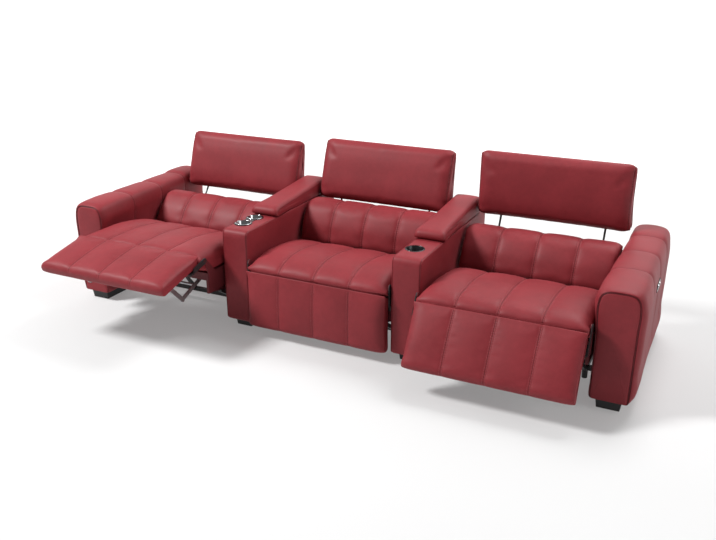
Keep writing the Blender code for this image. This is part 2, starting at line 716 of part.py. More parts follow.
def lift_links():
    """The pair of links that hang from the seat box, tied by a torsion tube."""
    arm = link(LINK_X, LIFT_AXIS, LINK_END)
    arm = cut(arm, [eye(LINK_X - 0.01, LINK_OUTER + 0.01, LIFT_AXIS)])
    end_pin = pin(LINK_X + 0.002, PUSH_OUTER, LINK_END)
    tube = cross_bar(LINK_OUTER - 0.003, LIFT_AXIS, LINK_END, LIFT_BAR_SHARE)
    return union([tube] + both_sides([arm, end_pin]))


def push_links():
    """The pair of links that push the footrest board; its front eyes are loose."""
    arm = link(PUSH_X, LINK_END, BRACKET_AXIS)
    loose = pin(PUSH_X - 0.01, PUSH_OUTER + 0.01, BRACKET_AXIS, PIN_RADIUS + 2 * RUNNING)
    arm = cut(arm, [eye(PUSH_X - 0.01, PUSH_OUTER + 0.01, LINK_END), loose])
    tube = cross_bar(PUSH_OUTER - 0.003, LINK_END, BRACKET_AXIS, PUSH_BAR_SHARE)
    return union([tube] + both_sides([arm]))


def footrest_board():
    """The board behind the footrest pad, with its hinge ears and the link brackets."""
    front = FOOTREST_BACK + GAP
    back = front + BOARD_THICKNESS
    outer = EAR_X + LINK_GAP + EAR_THICKNESS
    plate = CUSHION_HALF - BOARD_INSET
    board = block((-plate, front, BOARD_BOTTOM), (plate, back, BOARD_SHOULDER + 0.002))
    top = block((-outer + 0.0005, front, BOARD_SHOULDER), (outer - 0.0005, back, BOARD_TOP))
    fy, fz = FOOTREST_AXIS
    ear_outline = arc(FOOTREST_AXIS, EAR_RADIUS, 0, 180, 4)
    ear_outline += [(fy - 0.012, BOARD_TOP - 0.02), (back - 0.0005, BOARD_TOP - 0.03)]
    ear = slab_x(ear_outline, outer - EAR_THICKNESS, outer)
    ear = cut(ear, [eye(outer - 0.01, outer + 0.01, FOOTREST_AXIS)])
    by, bz = BRACKET_AXIS
    root_y = back - 0.002
    ear_bracket = [(root_y, bz - BRACKET_HALF_HEIGHT), (by, bz - 0.012), (by + 0.012, bz),
                   (by, bz + 0.012), (root_y, bz + BRACKET_HALF_HEIGHT)]
    bracket = slab_x(ear_bracket, BRACKET_X, BRACKET_X + LINK_THICKNESS)
    link_pin = pin(PUSH_X, BRACKET_X + 0.003, BRACKET_AXIS)
    return union([board, top] + both_sides([ear, bracket, link_pin]))


def back_shell():
    """The reclining back: a leaning upholstered shell, bored for the headrest posts."""
    low = SHELL_BOTTOM
    rear_low = (shell_line(low) + SHELL_THICKNESS * math.cos(math.radians(LEAN)),
                low - SHELL_THICKNESS * math.sin(math.radians(LEAN)) + 0.03)
    top_along = -HEADREST_AXIS_HEIGHT - SHELL_TOP_GAP
    front_top = leaning(SHELL_ACROSS, top_along)
    rear_top = leaning(SHELL_ACROSS + SHELL_THICKNESS, top_along)
    outline = [(shell_line(low), low), rear_low,
               blend(rear_low, rear_top, 0.96), blend(rear_top, front_top, 0.08),
               blend(rear_top, front_top, 0.97), (shell_line(front_top[1] - 0.004), front_top[1] - 0.004)]
    shell = slab_x(outline, -SHELL_HALF, SHELL_HALF)
    arm_x = BOX_HALF - BOX_WALL - LINK_GAP
    arm_outline = arc(RECLINE_AXIS, SHELL_ARM_RADIUS, 90, 250, 4)
    arm_outline += [(shell_line(low) + 0.02, low + 0.004), (shell_line(low) + 0.03, low + 0.055)]
    arm = slab_x(arm_outline, arm_x - SHELL_ARM_THICKNESS, arm_x)
    arm = cut(arm, [eye(arm_x - 0.02, arm_x + 0.01, RECLINE_AXIS)])
    bores = []
    for x in (-POST_X, POST_X):
        bores.append(rod((x, *leaning(0, 0.02)), (x, *leaning(0, -POST_LENGTH - 0.01)),
                         POST_RADIUS + POST_CLEARANCE, 8))
    return cut(union([shell] + both_sides([arm])), bores)


def headrest_bracket():
    """A crossbar on two posts, which slide in the back shell."""
    bar = rod((-CROSSBAR_HALF, *HEADREST_AXIS), (CROSSBAR_HALF, *HEADREST_AXIS), CROSSBAR_RADIUS)
    posts = []
    for x in (-POST_X, POST_X):
        posts.append(rod((x, *HEADREST_AXIS), (x, *leaning(0, -POST_LENGTH)), POST_RADIUS, 8))
    return union([bar] + posts)


def build_seat(side, place, swing, lift, tilt, filled, root, mats):
    """One whole seat on its empties, opened by its own share of the full motion."""
    share = swing / FOOTREST_SWING
    centre = place * SEAT_PITCH
    floor = empty(f"axis_floor_{side}", (centre, 0, 0), root)
    add(f"base_frame_{side}", base_frame(), mats["steel"], floor)
    add(f"actuator_{side}", actuator(), mats["plastic"], floor)

    slide = Vector((0, -SLIDE_RUN, SLIDE_RISE)) * share
    carriage = empty(f"axis_slide_{side}", slide, floor)
    add(f"seat_frame_{side}", seat_frame(), mats["frame"], carriage)
    seat = cushion(f"seat_cushion_{side}", seat_outline(filled), CUSHION_HALF, CHANNELS,
                   CHANNEL_DEPTH, SIDE_DRAW, SEAT_EDGE, SEAT_REACH)
    add(f"seat_cushion_{side}", seat, mats["leather"], carriage, sharp=60)

    hinge = (0, *FOOTREST_AXIS)
    footrest = empty(f"axis_footrest_{side}", hinge, carriage, -swing)
    pad = cushion(f"footrest_pad_{side}", footrest_outline(), CUSHION_HALF - 0.001, CHANNELS,
                  CHANNEL_DEPTH * 0.8, PAD_DRAW, PAD_EDGE, PAD_REACH)
    add(f"footrest_pad_{side}", pad, mats["leather"], footrest, hinge, 60)
    add(f"footrest_board_{side}", footrest_board(), mats["steel"], footrest, hinge)

    lift_at = (0, *LIFT_AXIS)
    lifting = empty(f"axis_lift_links_{side}", lift_at, carriage, -swing)
    add(f"lift_links_{side}", lift_links(), mats["steel"], lifting, lift_at)
    push_at = (0, *LINK_END)
    pushing = empty(f"axis_push_links_{side}", Vector(push_at) - Vector(lift_at), lifting, swing)
    add(f"push_links_{side}", push_links(), mats["steel"], pushing, push_at)

    back_at = (0, *RECLINE_AXIS)
    back = empty(f"axis_backrest_{side}", back_at, carriage, -RECLINE_SWING * share)
    pad = cushion(f"back_cushion_{side}", back_outline(), BACK_HALF, CHANNELS, CHANNEL_DEPTH,
                  BACK_DRAW, BACK_EDGE, BACK_REACH)
    add(f"back_cushion_{side}", pad, mats["leather"], back, back_at, 60)
    add(f"back_shell_{side}", back_shell(), mats["leather"], back, back_at)

    lean = math.radians(LEAN)
    top_at = (0, *HEADREST_AXIS)
    raised = Vector((0, math.sin(lean), math.cos(lean))) * lift
    sliding = empty(f"axis_headrest_slide_{side}", Vector(top_at) - Vector(back_at) + raised, back)
    add(f"headrest_bracket_{side}", headrest_bracket(), mats["dark_steel"], sliding, top_at)
    tilting = empty(f"axis_headrest_tilt_{side}", (0, 0, 0), sliding, tilt)
    pad = cushion(f"headrest_pad_{side}", headrest_outline(), HEADREST_HALF, 1, 0.0,
                  BACK_DRAW, HEADREST_EDGE, HEADREST_REACH)
    add(f"headrest_pad_{side}", pad, mats["leather"], tilting, top_at, 60)


def arm_section(y, inward, outward, sink, drop, low_sink=0.0):
    """The arm across its width at one place along it, drawn for the right-hand arm.

    The seams fade out towards the floor, so the foot of the section has its own sink.
    """
    x0 = ARM_INNER + sink
    x1 = ARM_INNER + ARM_WIDTH - sink
    low_x0 = ARM_INNER + low_sink
    low_x1 = ARM_INNER + ARM_WIDTH - low_sink
    z0 = FOOT_HEIGHT
    z1 = ARM_TOP - sink - drop
    radius = ARM_CORNER_RADIUS
    points = [(low_x1 - 0.006, z0), (low_x1 + 0.3 * outward, z0 + 0.015),
              (x1 + 0.8 * outward, z0 + 0.3 * (z1 - z0)),
              (x1 + outward, z0 + 0.62 * (z1 - z0)), (x1 + 0.9 * outward, z1 - 1.6 * radius)]
    points += arc((x1 + 0.6 * outward - radius, z1 - radius), radius, 12, 90, 3)
    points.append(((x0 + x1) / 2, z1 + ARM_CROWN))
    points += arc((x0 - 0.6 * inward + radius, z1 - radius), radius, 90, 168, 3)
    points += [(x0 - inward, z1 - 1.6 * radius), (x0 - 0.12 * inward, z1 - 3.6 * radius),
               (low_x0, z0 + 0.015), (low_x0 + 0.006, z0)]
    return [(x, y, z) for x, z in points]


def arm_body(name):
    """The padded arm: four puffs between the front board and the rear, seamed across."""
    front = ARM_PANEL_THICKNESS + GAP
    ends = (front,) + ARM_SEAMS + (ARM_DEPTH,)
    rings = []
    last = len(ARM_SEAMS)
    for puff, (start, end) in enumerate(zip(ends, ends[1:])):
        length = end - start
        rise = -ARM_REAR_RISE if puff == last else 0.0
        low = (rise, rise) if puff else (ARM_TOP - PANEL_TOP - ARM_CROWN, 0.25 * (ARM_TOP - PANEL_TOP))
        stations = [(start, 0.3, 0.75, ARM_SEAM_DEPTH if puff else PANEL_EDGE, low[0]),
                    (start + 0.15 * length, 0.8, 0.9, 0.001, low[1])]
        if puff == last:
            stations.append((end - 2 * ARM_REAR_ROUND, 0.6, 0.9, 0.001, rise))
        else:
            stations.append((start + 0.5 * length, 1.0, 1.0, 0.0, rise))
            stations.append((end - 0.15 * length, 0.8, 0.95, 0.001, rise))
        bulge_in = ARM_BULGE_IN * ARM_INNER_SHARES[puff]
        bulge_out = ARM_BULGE_OUT * ARM_OUTER_SHARES[puff]
        for y, inward, outward, sink, drop in stations:
            rings.append(arm_section(y, inward * bulge_in, outward * bulge_out, sink, drop))
    for share, sink in ((0.62, 0.006), (0.18, 0.018), (0.0, 0.034)):
        y = ARM_DEPTH - share * ARM_REAR_ROUND
        drop = 1.3 * sink - ARM_REAR_RISE
        rings.append(arm_section(y, 0.0, 0.5 * ARM_BULGE_OUT * share, sink, drop, sink))
    rear_foot_y = ARM_DEPTH - ARM_FOOT_SETBACK - ARM_FOOT_DEPTH - ARM_REAR_ROUND
    rear_foot = foot(ARM_INNER + ARM_WIDTH / 2, rear_foot_y, ARM_FOOT_WIDTH, ARM_FOOT_DEPTH,
                     FOOT_HEIGHT + FOOT_ROOT)
    body = union([skin(rings, name), rear_foot])
    outer = ARM_INNER + ARM_WIDTH + ARM_BULGE_OUT
    pocket = block((outer - CONTROL_DEPTH - CONTROL_PROUD - GAP, ARM_CONTROL_Y - CONTROL_LENGTH / 2 - GAP,
                    ARM_CONTROL_Z - CONTROL_HEIGHT / 2 - GAP),
                   (outer + 0.05, ARM_CONTROL_Y + CONTROL_LENGTH / 2 + GAP,
                    ARM_CONTROL_Z + CONTROL_HEIGHT / 2 + GAP))
    return cut(body, [pocket])


def arm_front_panel(name):
    """The upholstered board on the arm's front, with rounded upper corners."""
    x0 = ARM_INNER
    x1 = ARM_INNER + ARM_WIDTH
    rings = []
    for y, inset in ((0.0, PANEL_EDGE), (PANEL_EDGE_DEPTH, 0.0), (ARM_PANEL_THICKNESS, 0.0)):
        radius = ARM_CORNER_RADIUS - inset
        low = FOOT_HEIGHT + inset
        top = PANEL_TOP - inset
        outline = [(x1 - inset, low), (x1 + 0.8 * PANEL_BULGE - inset, low + 0.3 * (top - low)),
                   (x1 + PANEL_BULGE - inset, low + 0.62 * (top - low))]
        outline += arc((x1 + 0.6 * PANEL_BULGE - ARM_CORNER_RADIUS, top - radius), radius, 0, 90, 4)
        outline += arc((x0 + ARM_CORNER_RADIUS, top - radius), radius, 90, 180, 4)
        outline.append((x0 + inset, low))
        rings.append([(x, y, z) for x, z in outline])
    return skin(rings, name)


def control(centre, facing, name):
    """A control housing with two bores for its buttons; facing is +1 or -1 along X."""
    x, y, z = centre
    front = x + facing * CONTROL_PROUD
    back = x - facing * CONTROL_DEPTH
    body = block((min(front, back), y - CONTROL_LENGTH / 2, z - CONTROL_HEIGHT / 2),
                 (max(front, back), y + CONTROL_LENGTH / 2, z + CONTROL_HEIGHT / 2), name)
    depth = BUTTON_LENGTH - BUTTON_PROUD + BUTTON_TRAVEL + RUNNING
    bores = []
    for step in (-0.5, 0.5):
        at = (y + step * BUTTON_PITCH, z)
        bores.append(rod((front + facing * 0.01, *at), (front - facing * depth, *at),
                         BUTTON_RADIUS + POST_CLEARANCE, 16))
    return cut(body, bores)


def button(front, facing, y, z, name):
    """A round push button that stands a little out of its housing."""
    out = front + facing * BUTTON_PROUD
    back = out - facing * BUTTON_LENGTH
    return rod((out, y, z), (back, y, z), BUTTON_RADIUS, 16, name)


def add_control(side, surface, facing, y, z, root, mats):
    """A control panel whose housing is let into a face at x = surface."""
    holder = empty(f"axis_control_{side}", (surface, y, z), root)
    add(f"control_panel_{side}", control((0, 0, 0), facing, "control"), mats["plastic"], holder)
    for label, step in (("open", -0.5), ("close", 0.5)):
        mesh = button(facing * CONTROL_PROUD, facing, 0.0, 0.0, "button")
        at = empty(f"axis_{label}_button_{side}", (0, step * BUTTON_PITCH, 0), holder)
        add(f"{label}_button_{side}", mesh, mats["chrome"], at)


def foot(x, y, width, depth, top, name="foot"):
    """A tapered block foot; x is its middle and y its front."""
    rings = []
    for z, taper in ((0.0, FOOT_TAPER), (top, 0.0)):
        x0, x1 = x - width / 2 + taper, x + width / 2 - taper
        y0, y1 = y + taper, y + depth - taper
        rings.append([(x0, y0, z), (x1, y0, z), (x1, y1, z), (x0, y1, z)])
    return skin(rings, name)


def console_body(wells, storage_x):
    """A padded console with cup wells and a storage bin, in its own X."""
    half = CONSOLE_WIDTH / 2
    round_centre = (CONSOLE_FRONT + DECK_FRONT_ROUND, DECK_HEIGHT - DECK_FRONT_ROUND)
    outline = [(CONSOLE_FRONT, FOOT_HEIGHT), (CONSOLE_REAR, FOOT_HEIGHT)]
    rear = DECK_REAR_ROUND
    outline += arc((CONSOLE_REAR - rear, DECK_HEIGHT - rear), rear, 0, 90, 2)
    outline += arc(round_centre, DECK_FRONT_ROUND, 90, 180, 4)
    mid_y = (CONSOLE_FRONT + CONSOLE_REAR) / 2
    rings = []
    for x, inset in ((-half, 1.0), (-half + CONSOLE_EDGE, 0.0), (half - CONSOLE_EDGE, 0.0), (half, 1.0)):
        ring = []
        for y, z in outline:
            dy = CONSOLE_EDGE * inset * (1 if y < mid_y else -1)
            dz = 0.0 if z < 0.3 else -CONSOLE_EDGE * inset * (0.4 if z < DECK_HEIGHT - 0.001 else 1.0)
            ring.append((x, y + dy, z + dz))
        rings.append(ring)
    rear_foot = foot(0.0, CONSOLE_REAR - CONSOLE_FOOT_SETBACK - CONSOLE_FOOT_DEPTH,
                     CONSOLE_FOOT_WIDTH, CONSOLE_FOOT_DEPTH, FOOT_HEIGHT + FOOT_ROOT)
    body = union([skin(rings, "console"), rear_foot])
    cutters = []
    for x, y, radius, depth in wells:
        cutters.append(rod((x, y, DECK_HEIGHT - depth), (x, y, DECK_HEIGHT + 0.02),
                           radius + RUNNING * 2, CUP_SIDES))
    cutters.append(block((-storage_x, STORAGE_START, DECK_HEIGHT - STORAGE_DEPTH),
                         (storage_x, STORAGE_START + STORAGE_LENGTH, DECK_HEIGHT + 0.02)))
    return cut(body, cutters)


def console_lid():
    """The padded armrest lid, a wedge that thickens towards its hinge."""
    low = DECK_HEIGHT + GAP
    front_top = low + LID_FRONT_THICKNESS
    rear_top = low + LID_REAR_THICKNESS
    spread_end = LID_FRONT + LID_SPREAD_LENGTH
    rise = (rear_top - front_top - 0.010) / (LID_REAR - LID_FRONT - 0.07)
    outline = [(LID_FRONT + 0.004, low), (spread_end, low), (LID_REAR, low), (LID_REAR, rear_top - 0.02),
               (LID_REAR - 0.006, rear_top - 0.006), (LID_REAR - 0.02, rear_top),
               (spread_end, front_top + 0.010 + rise * (LID_SPREAD_LENGTH - 0.05)),
               (LID_FRONT + 0.05, front_top + 0.010), (LID_FRONT + 0.018, front_top + 0.003),
               (LID_FRONT + 0.005, front_top - 0.006), (LID_FRONT, front_top - 0.02),
               (LID_FRONT, low + 0.012)]
    half = CONSOLE_WIDTH / 2 - LID_OPEN_SIDE
    rings = []
    for x, inset in ((-half, 1.0), (-half + LID_EDGE, 0.0), (half - LID_EDGE, 0.0), (half, 1.0)):
        ring = []
        for y, z in outline:
            down = 0.8 * LID_EDGE * inset if z > low + 0.02 else 0.0
            spread = LID_SPREAD * max(0.0, 1 - (y - LID_FRONT) / LID_SPREAD_LENGTH)
            ring.append((x + math.copysign(spread, x), y, z - down))
        rings.append(ring)
    return skin(rings, "console_lid")


LID_AXIS = (LID_REAR + HINGE_SETBACK, DECK_HEIGHT + GAP + HINGE_BARREL_RADIUS + HINGE_RISE)


def lid_hinge():
    """The hinge behind the lid: a barrel on a leaf that is screwed to the deck."""
    half = CONSOLE_WIDTH / 2 - HINGE_END
    low = DECK_HEIGHT + GAP
    barrel = rod((-half, *LID_AXIS), (half, *LID_AXIS), HINGE_BARREL_RADIUS)
    y = LID_AXIS[0]
    leaf = block((-half + 0.001, y - 0.003, low), (half - 0.001, y + HINGE_LEAF_LENGTH, low + HINGE_LEAF))
    web = block((-half + 0.002, y - 0.0015, low + 0.001), (half - 0.002, y + 0.0015, LID_AXIS[1]))
    return union([leaf, web, barrel])


def cup(rim_radius, outer, depth, rest):
    """A turned cup that hangs by its rim; rest is the height of the face it hangs on."""
    low = rest - depth
    inner = outer - CUP_WALL
    top = rest + GAP + CUP_RIM_THICKNESS
    return [(0.0, low), (outer - 0.005, low), (outer, low + 0.006), (outer, rest + GAP),
            (rim_radius, rest + GAP), (rim_radius - 0.001, top), (inner, top),
            (inner, low + 0.006 + CUP_WALL), (inner - 0.004, low + CUP_WALL), (0.0, low + CUP_WALL)]


def cup_tray():
    """The dark figure-of-eight plate round the two steel cups."""
    low = DECK_HEIGHT + GAP
    high = low + TRAY_THICKNESS
    discs = [rod((CUP_OFFSET, y, low), (CUP_OFFSET, y, high), TRAY_RADIUS, 20) for y in STEEL_CUP_Y]
    neck = block((CUP_OFFSET - TRAY_NECK / 2, STEEL_CUP_Y[0] + 0.02, low + 0.0002),
                 (CUP_OFFSET + TRAY_NECK / 2, STEEL_CUP_Y[1] - 0.02, high - 0.0002))
    holes = [rod((CUP_OFFSET, y, low - 0.01), (CUP_OFFSET, y, high + 0.01),
                 STEEL_CUP_RADIUS + 2 * RUNNING, CUP_SIDES) for y in STEEL_CUP_Y]
    return cut(union(discs + [neck]), holes)


def build_consoles(root, mats):
    steel_wells = [(CUP_OFFSET, y, STEEL_CUP_RADIUS, STEEL_CUP_DEPTH + 0.004) for y in STEEL_CUP_Y]
    dark_wells = [(DARK_CUP_OFFSET, DARK_CUP_Y, DARK_CUP_RADIUS, DARK_CUP_DEPTH + 0.004)]
    storage_x = CONSOLE_WIDTH / 2 - CONSOLE_WALL
    for side, sign, wells in (("left", -1, steel_wells), ("right", 1, dark_wells)):
        place = empty(f"axis_console_{side}", (sign * CONSOLE_X, 0, 0), root)
        add(f"console_{side}", console_body(wells, storage_x), mats["leather"], place)
        axis = (0, *LID_AXIS)
        turning = empty(f"axis_console_lid_{side}", axis, place)
        add(f"console_lid_{side}", console_lid(), mats["leather"], turning, axis)
        add(f"lid_hinge_{side}", lid_hinge(), mats["dark_steel"], place)
        if side == "left":
            add("cup_tray_left", cup_tray(), mats["plastic"], place)
            rest = DECK_HEIGHT + GAP + TRAY_THICKNESS
            profile = cup(STEEL_CUP_RIM, STEEL_CUP_RADIUS, STEEL_CUP_DEPTH, rest)
            for label, y in zip(("front", "rear"), STEEL_CUP_Y):
                mesh = lathe(profile, (CUP_OFFSET, y, 0), CUP_SIDES, "cup")
                add(f"cup_left_{label}", mesh, mats["chrome"], place)
        else:
            profile = cup(DARK_CUP_RIM, DARK_CUP_RADIUS, DARK_CUP_DEPTH, DECK_HEIGHT)
            mesh = lathe(profile, (DARK_CUP_OFFSET, DARK_CUP_Y, 0), CUP_SIDES, "cup")
            add("cup_right", mesh, mats["plastic"], place)


def build_arms(root, mats):
    surface = ARM_INNER + ARM_WIDTH + ARM_BULGE_OUT - CONTROL_PROUD
    for side, sign in (("left", -1), ("right", 1)):
        body = arm_body(f"arm_{side}")
        panel = arm_front_panel(f"arm_front_panel_{side}")
        if sign < 0:
            body = mirrored(body)
            panel = mirrored(panel)
        add(f"arm_{side}", body, mats["leather"], root, sharp=60)
        add(f"arm_front_panel_{side}", panel, mats["leather"], root)
        add_control(side, sign * surface, sign, ARM_CONTROL_Y, ARM_CONTROL_Z, root, mats)


def build_front_feet(root, mats):
    """The four visible feet; the rear ones are moulded on the arms and consoles."""
    top = FOOT_HEIGHT - GAP
    arm_x = ARM_INNER + ARM_WIDTH / 2
    for side, sign in (("left", -1), ("right", 1)):
        mesh = foot(sign * arm_x, ARM_FOOT_SETBACK, ARM_FOOT_WIDTH, ARM_FOOT_DEPTH, top)
        add(f"arm_foot_{side}", mesh, mats["plastic"], root)
        mesh = foot(sign * CONSOLE_X, CONSOLE_FRONT + CONSOLE_FOOT_SETBACK, CONSOLE_FOOT_WIDTH,
                    CONSOLE_FOOT_DEPTH, top)
        add(f"console_foot_{side}", mesh, mats["plastic"], root)


def centre_on_depth(root):
    """Move the sofa so that the origin lies below the middle of its depth."""
    graph = bpy.context.evaluated_depsgraph_get()
    values = []
    for obj in bpy.data.objects:
        if obj.type == "MESH":
            shape = obj.evaluated_get(graph).to_mesh()
            values += [(obj.matrix_world @ v.co).y for v in shape.vertices]
    root.location.y = -(min(values) + max(values)) / 2
    print("depth shift", round(root.location.y, 6))


def main():
    clear_scene()
    mats = {
        "leather": material("red_leather", (0.30, 0.035, 0.045), 0.45),
        "frame": material("wrapped_frame", (0.16, 0.02, 0.026), 0.6),
        "steel": material("zinc_steel", (0.32, 0.32, 0.33), 0.4, 0.9),
        "dark_steel": material("black_steel", (0.03, 0.03, 0.033), 0.35, 0.8),
        "chrome": material("polished_steel", (0.75, 0.76, 0.78), 0.12, 1.0),
        "plastic": material("black_plastic", (0.015, 0.015, 0.016), 0.4),
    }
    root = empty("sofa", (0, 0, 0))
    build_arms(root, mats)
    build_consoles(root, mats)
    build_front_feet(root, mats)
    for side, place, swing, lift, tilt, filled in SEATS:
        build_seat(side, place, swing, lift, tilt, filled, root, mats)
    bpy.context.view_layer.update()
    centre_on_depth(root)
    bpy.context.view_layer.update()


main()
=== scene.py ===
# %% [markdown]
# # A home theater sofa in red leather
# Three powered recliner seats stand in a row, with a narrow console between each two and a
# padded arm at each end. Inside each seat a screw drive slides the seat box forward, a pair
# of links swings the footrest up and the back reclines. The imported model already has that
# mechanism and every joint, so this file dresses it: it makes the leather work, the
# stitching, the cups and the finishes.

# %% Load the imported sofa
import math

import bpy
import bmesh
import numpy as np
from mathutils import Matrix, Vector
from mathutils.bvhtree import BVHTree


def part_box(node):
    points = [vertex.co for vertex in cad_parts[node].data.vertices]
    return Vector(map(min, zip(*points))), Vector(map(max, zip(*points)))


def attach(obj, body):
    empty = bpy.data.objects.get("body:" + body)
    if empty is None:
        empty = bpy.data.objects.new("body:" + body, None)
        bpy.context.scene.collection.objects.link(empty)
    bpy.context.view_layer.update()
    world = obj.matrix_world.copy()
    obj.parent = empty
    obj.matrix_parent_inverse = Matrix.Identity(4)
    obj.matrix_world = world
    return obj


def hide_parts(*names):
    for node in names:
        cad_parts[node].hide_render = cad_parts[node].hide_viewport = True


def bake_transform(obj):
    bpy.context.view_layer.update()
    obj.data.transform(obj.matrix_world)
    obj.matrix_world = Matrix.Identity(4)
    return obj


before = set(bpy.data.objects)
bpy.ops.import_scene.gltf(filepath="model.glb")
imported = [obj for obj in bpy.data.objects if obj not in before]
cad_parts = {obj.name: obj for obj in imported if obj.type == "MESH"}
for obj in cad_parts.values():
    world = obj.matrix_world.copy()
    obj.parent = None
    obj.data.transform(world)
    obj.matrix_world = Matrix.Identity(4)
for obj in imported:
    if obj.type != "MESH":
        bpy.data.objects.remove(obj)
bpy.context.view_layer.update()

# %% [markdown]
# The seats are drawn once, closed, in the frame of one seat: X from its middle, Y back from
# the front of the arms, Z up from the floor. A matrix per body then opens a copy as far as
# that seat stands open. The axes and travels are those of the real mechanism, so a cushion
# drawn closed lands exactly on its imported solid.

# %% The mechanism's sizes
# A seat's row gives its column, the footrest's swing, the headrest's lift and its tilt.
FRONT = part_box("arm_front_panel_right")[0][1]
SEAT_PITCH = 1.027
CONSOLE_X = 0.5135
SLIDE_RUN = 0.17
SLIDE_RISE = 0.035
FOOTREST_SWING = 76.5
RECLINE_SWING = 20.5
LEAN = 17.3
FOOTREST_AXIS = (0.025, 0.42)
RECLINE_AXIS = (0.52, 0.19)
HEADREST_AXIS = (0.906, 0.605)
SEATS = {
    "left": (-1, 76.5, 0.105, 21.0),
    "middle": (0, 0.0, 0.0, 0.0),
    "right": (1, 30.4, 0.088, 25.0),
}


def turned(axis, degrees):
    """A turn about an axis along X through a (y, z) point."""
    centre = Matrix.Translation((0, *axis))
    return centre @ Matrix.Rotation(math.radians(degrees), 4, "X") @ centre.inverted()


def seat_place(side, body):
    """Where a body of one seat stands at rest, from the closed seat's own frame."""
    column, swing, lift, tilt = SEATS[side]
    share = swing / FOOTREST_SWING
    seat = Matrix.Translation((column * SEAT_PITCH, FRONT - SLIDE_RUN * share, SLIDE_RISE * share))
    if body == "seat":
        return seat
    if body == "footrest":
        return seat @ turned(FOOTREST_AXIS, -swing)
    back = seat @ turned(RECLINE_AXIS, -RECLINE_SWING * share)
    if body == "backrest":
        return back
    lean = math.radians(LEAN)
    raised = back @ Matrix.Translation((0, lift * math.sin(lean), lift * math.cos(lean)))
    return raised @ turned(HEADREST_AXIS, tilt)


print("sofa front at y =", round(FRONT, 4))

# %% [markdown]
# ## Writing finishes as sums
# A finish is a small calculation that runs at every point of a surface. Wired by hand it is
# a tangle of boxes, so one class holds a socket and lets the arithmetic signs add the Math
# nodes. A second class holds the material and adds any other node by its type.

# %% The two shader helpers
class Value:
    """A number that varies over a surface, with the signs for sums."""

    def __init__(self, finish, socket):
        self.finish = finish
        self.socket = socket

    def math(self, operation, first, second=0.0):
        return self.finish.node("Math", {"operation": operation}, {0: first, 1: second})

    def __add__(self, other):
        return self.math("ADD", self, other)

    def __sub__(self, other):
        return self.math("SUBTRACT", self, other)

    def __rsub__(self, other):
        return self.math("SUBTRACT", other, self)

    def __mul__(self, other):
        return self.math("MULTIPLY", self, other)

    def wave(self):
        return self.math("SINE", self)

    def between(self, low, high):
        """0 below low, 1 above high and smooth in between."""
        settings = {"interpolation_type": "SMOOTHSTEP"}
        return self.finish.node("MapRange", settings, {0: self, 1: low, 2: high})


class Finish:
    """A material with one Principled shader."""

    def __init__(self, name, colour, roughness, metallic=0.0, **plain):
        self.material = bpy.data.materials.new(name)
        self.material.use_nodes = True
        self.tree = self.material.node_tree
        self.shader = self.tree.nodes["Principled BSDF"]
        self.feed("Base Color", colour)
        self.feed("Roughness", roughness)
        self.feed("Metallic", metallic)
        for name, value in plain.items():
            self.feed(name.replace("_", " "), value)

    def node(self, kind, settings=None, sockets=None, output=0):
        """Add one node: its settings first, then the values or links of its sockets."""
        made = self.tree.nodes.new("ShaderNode" + kind)
        for name, value in (settings or {}).items():
            setattr(made, name, value)
        for name, value in (sockets or {}).items():
            self.join(made.inputs[name], value)
        return Value(self, made.outputs[output])

    def join(self, socket, value):
        if isinstance(value, Value):
            self.tree.links.new(value.socket, socket)
        elif socket.type == "RGBA":
            socket.default_value = (*value, 1.0)
        else:
            socket.default_value = value

    def feed(self, name, value):
        self.join(self.shader.inputs[name], value)

    def mix(self, low, high, share):
        return self.node("Mix", {"data_type": "RGBA"}, {0: share, 6: low, 7: high}, 2)

    def tint(self, low, high, share):
        self.feed("Base Color", self.mix(low, high, share))

    def place(self):
        """The point on the surface, in metres."""
        return self.node("TexCoord", output=3)

    def cloud(self, scale, detail=2.0, roughness=0.5):
        sockets = {"Vector": self.place(), "Scale": scale, "Detail": detail, "Roughness": roughness}
        return self.node("TexNoise", None, sockets)

    def cells(self, scale, feature="F1"):
        sockets = {"Vector": self.place(), "Scale": scale}
        return self.node("TexVoronoi", {"feature": feature}, sockets)

    def stored(self, name):
        """A number that the mesh carries at each point."""
        return self.node("Attribute", {"attribute_name": name}, output=2)

    def bump(self, height, depth, strength=1.0):
        sockets = {"Height": height, "Distance": depth, "Strength": strength}
        self.feed("Normal", self.node("Bump", None, sockets))
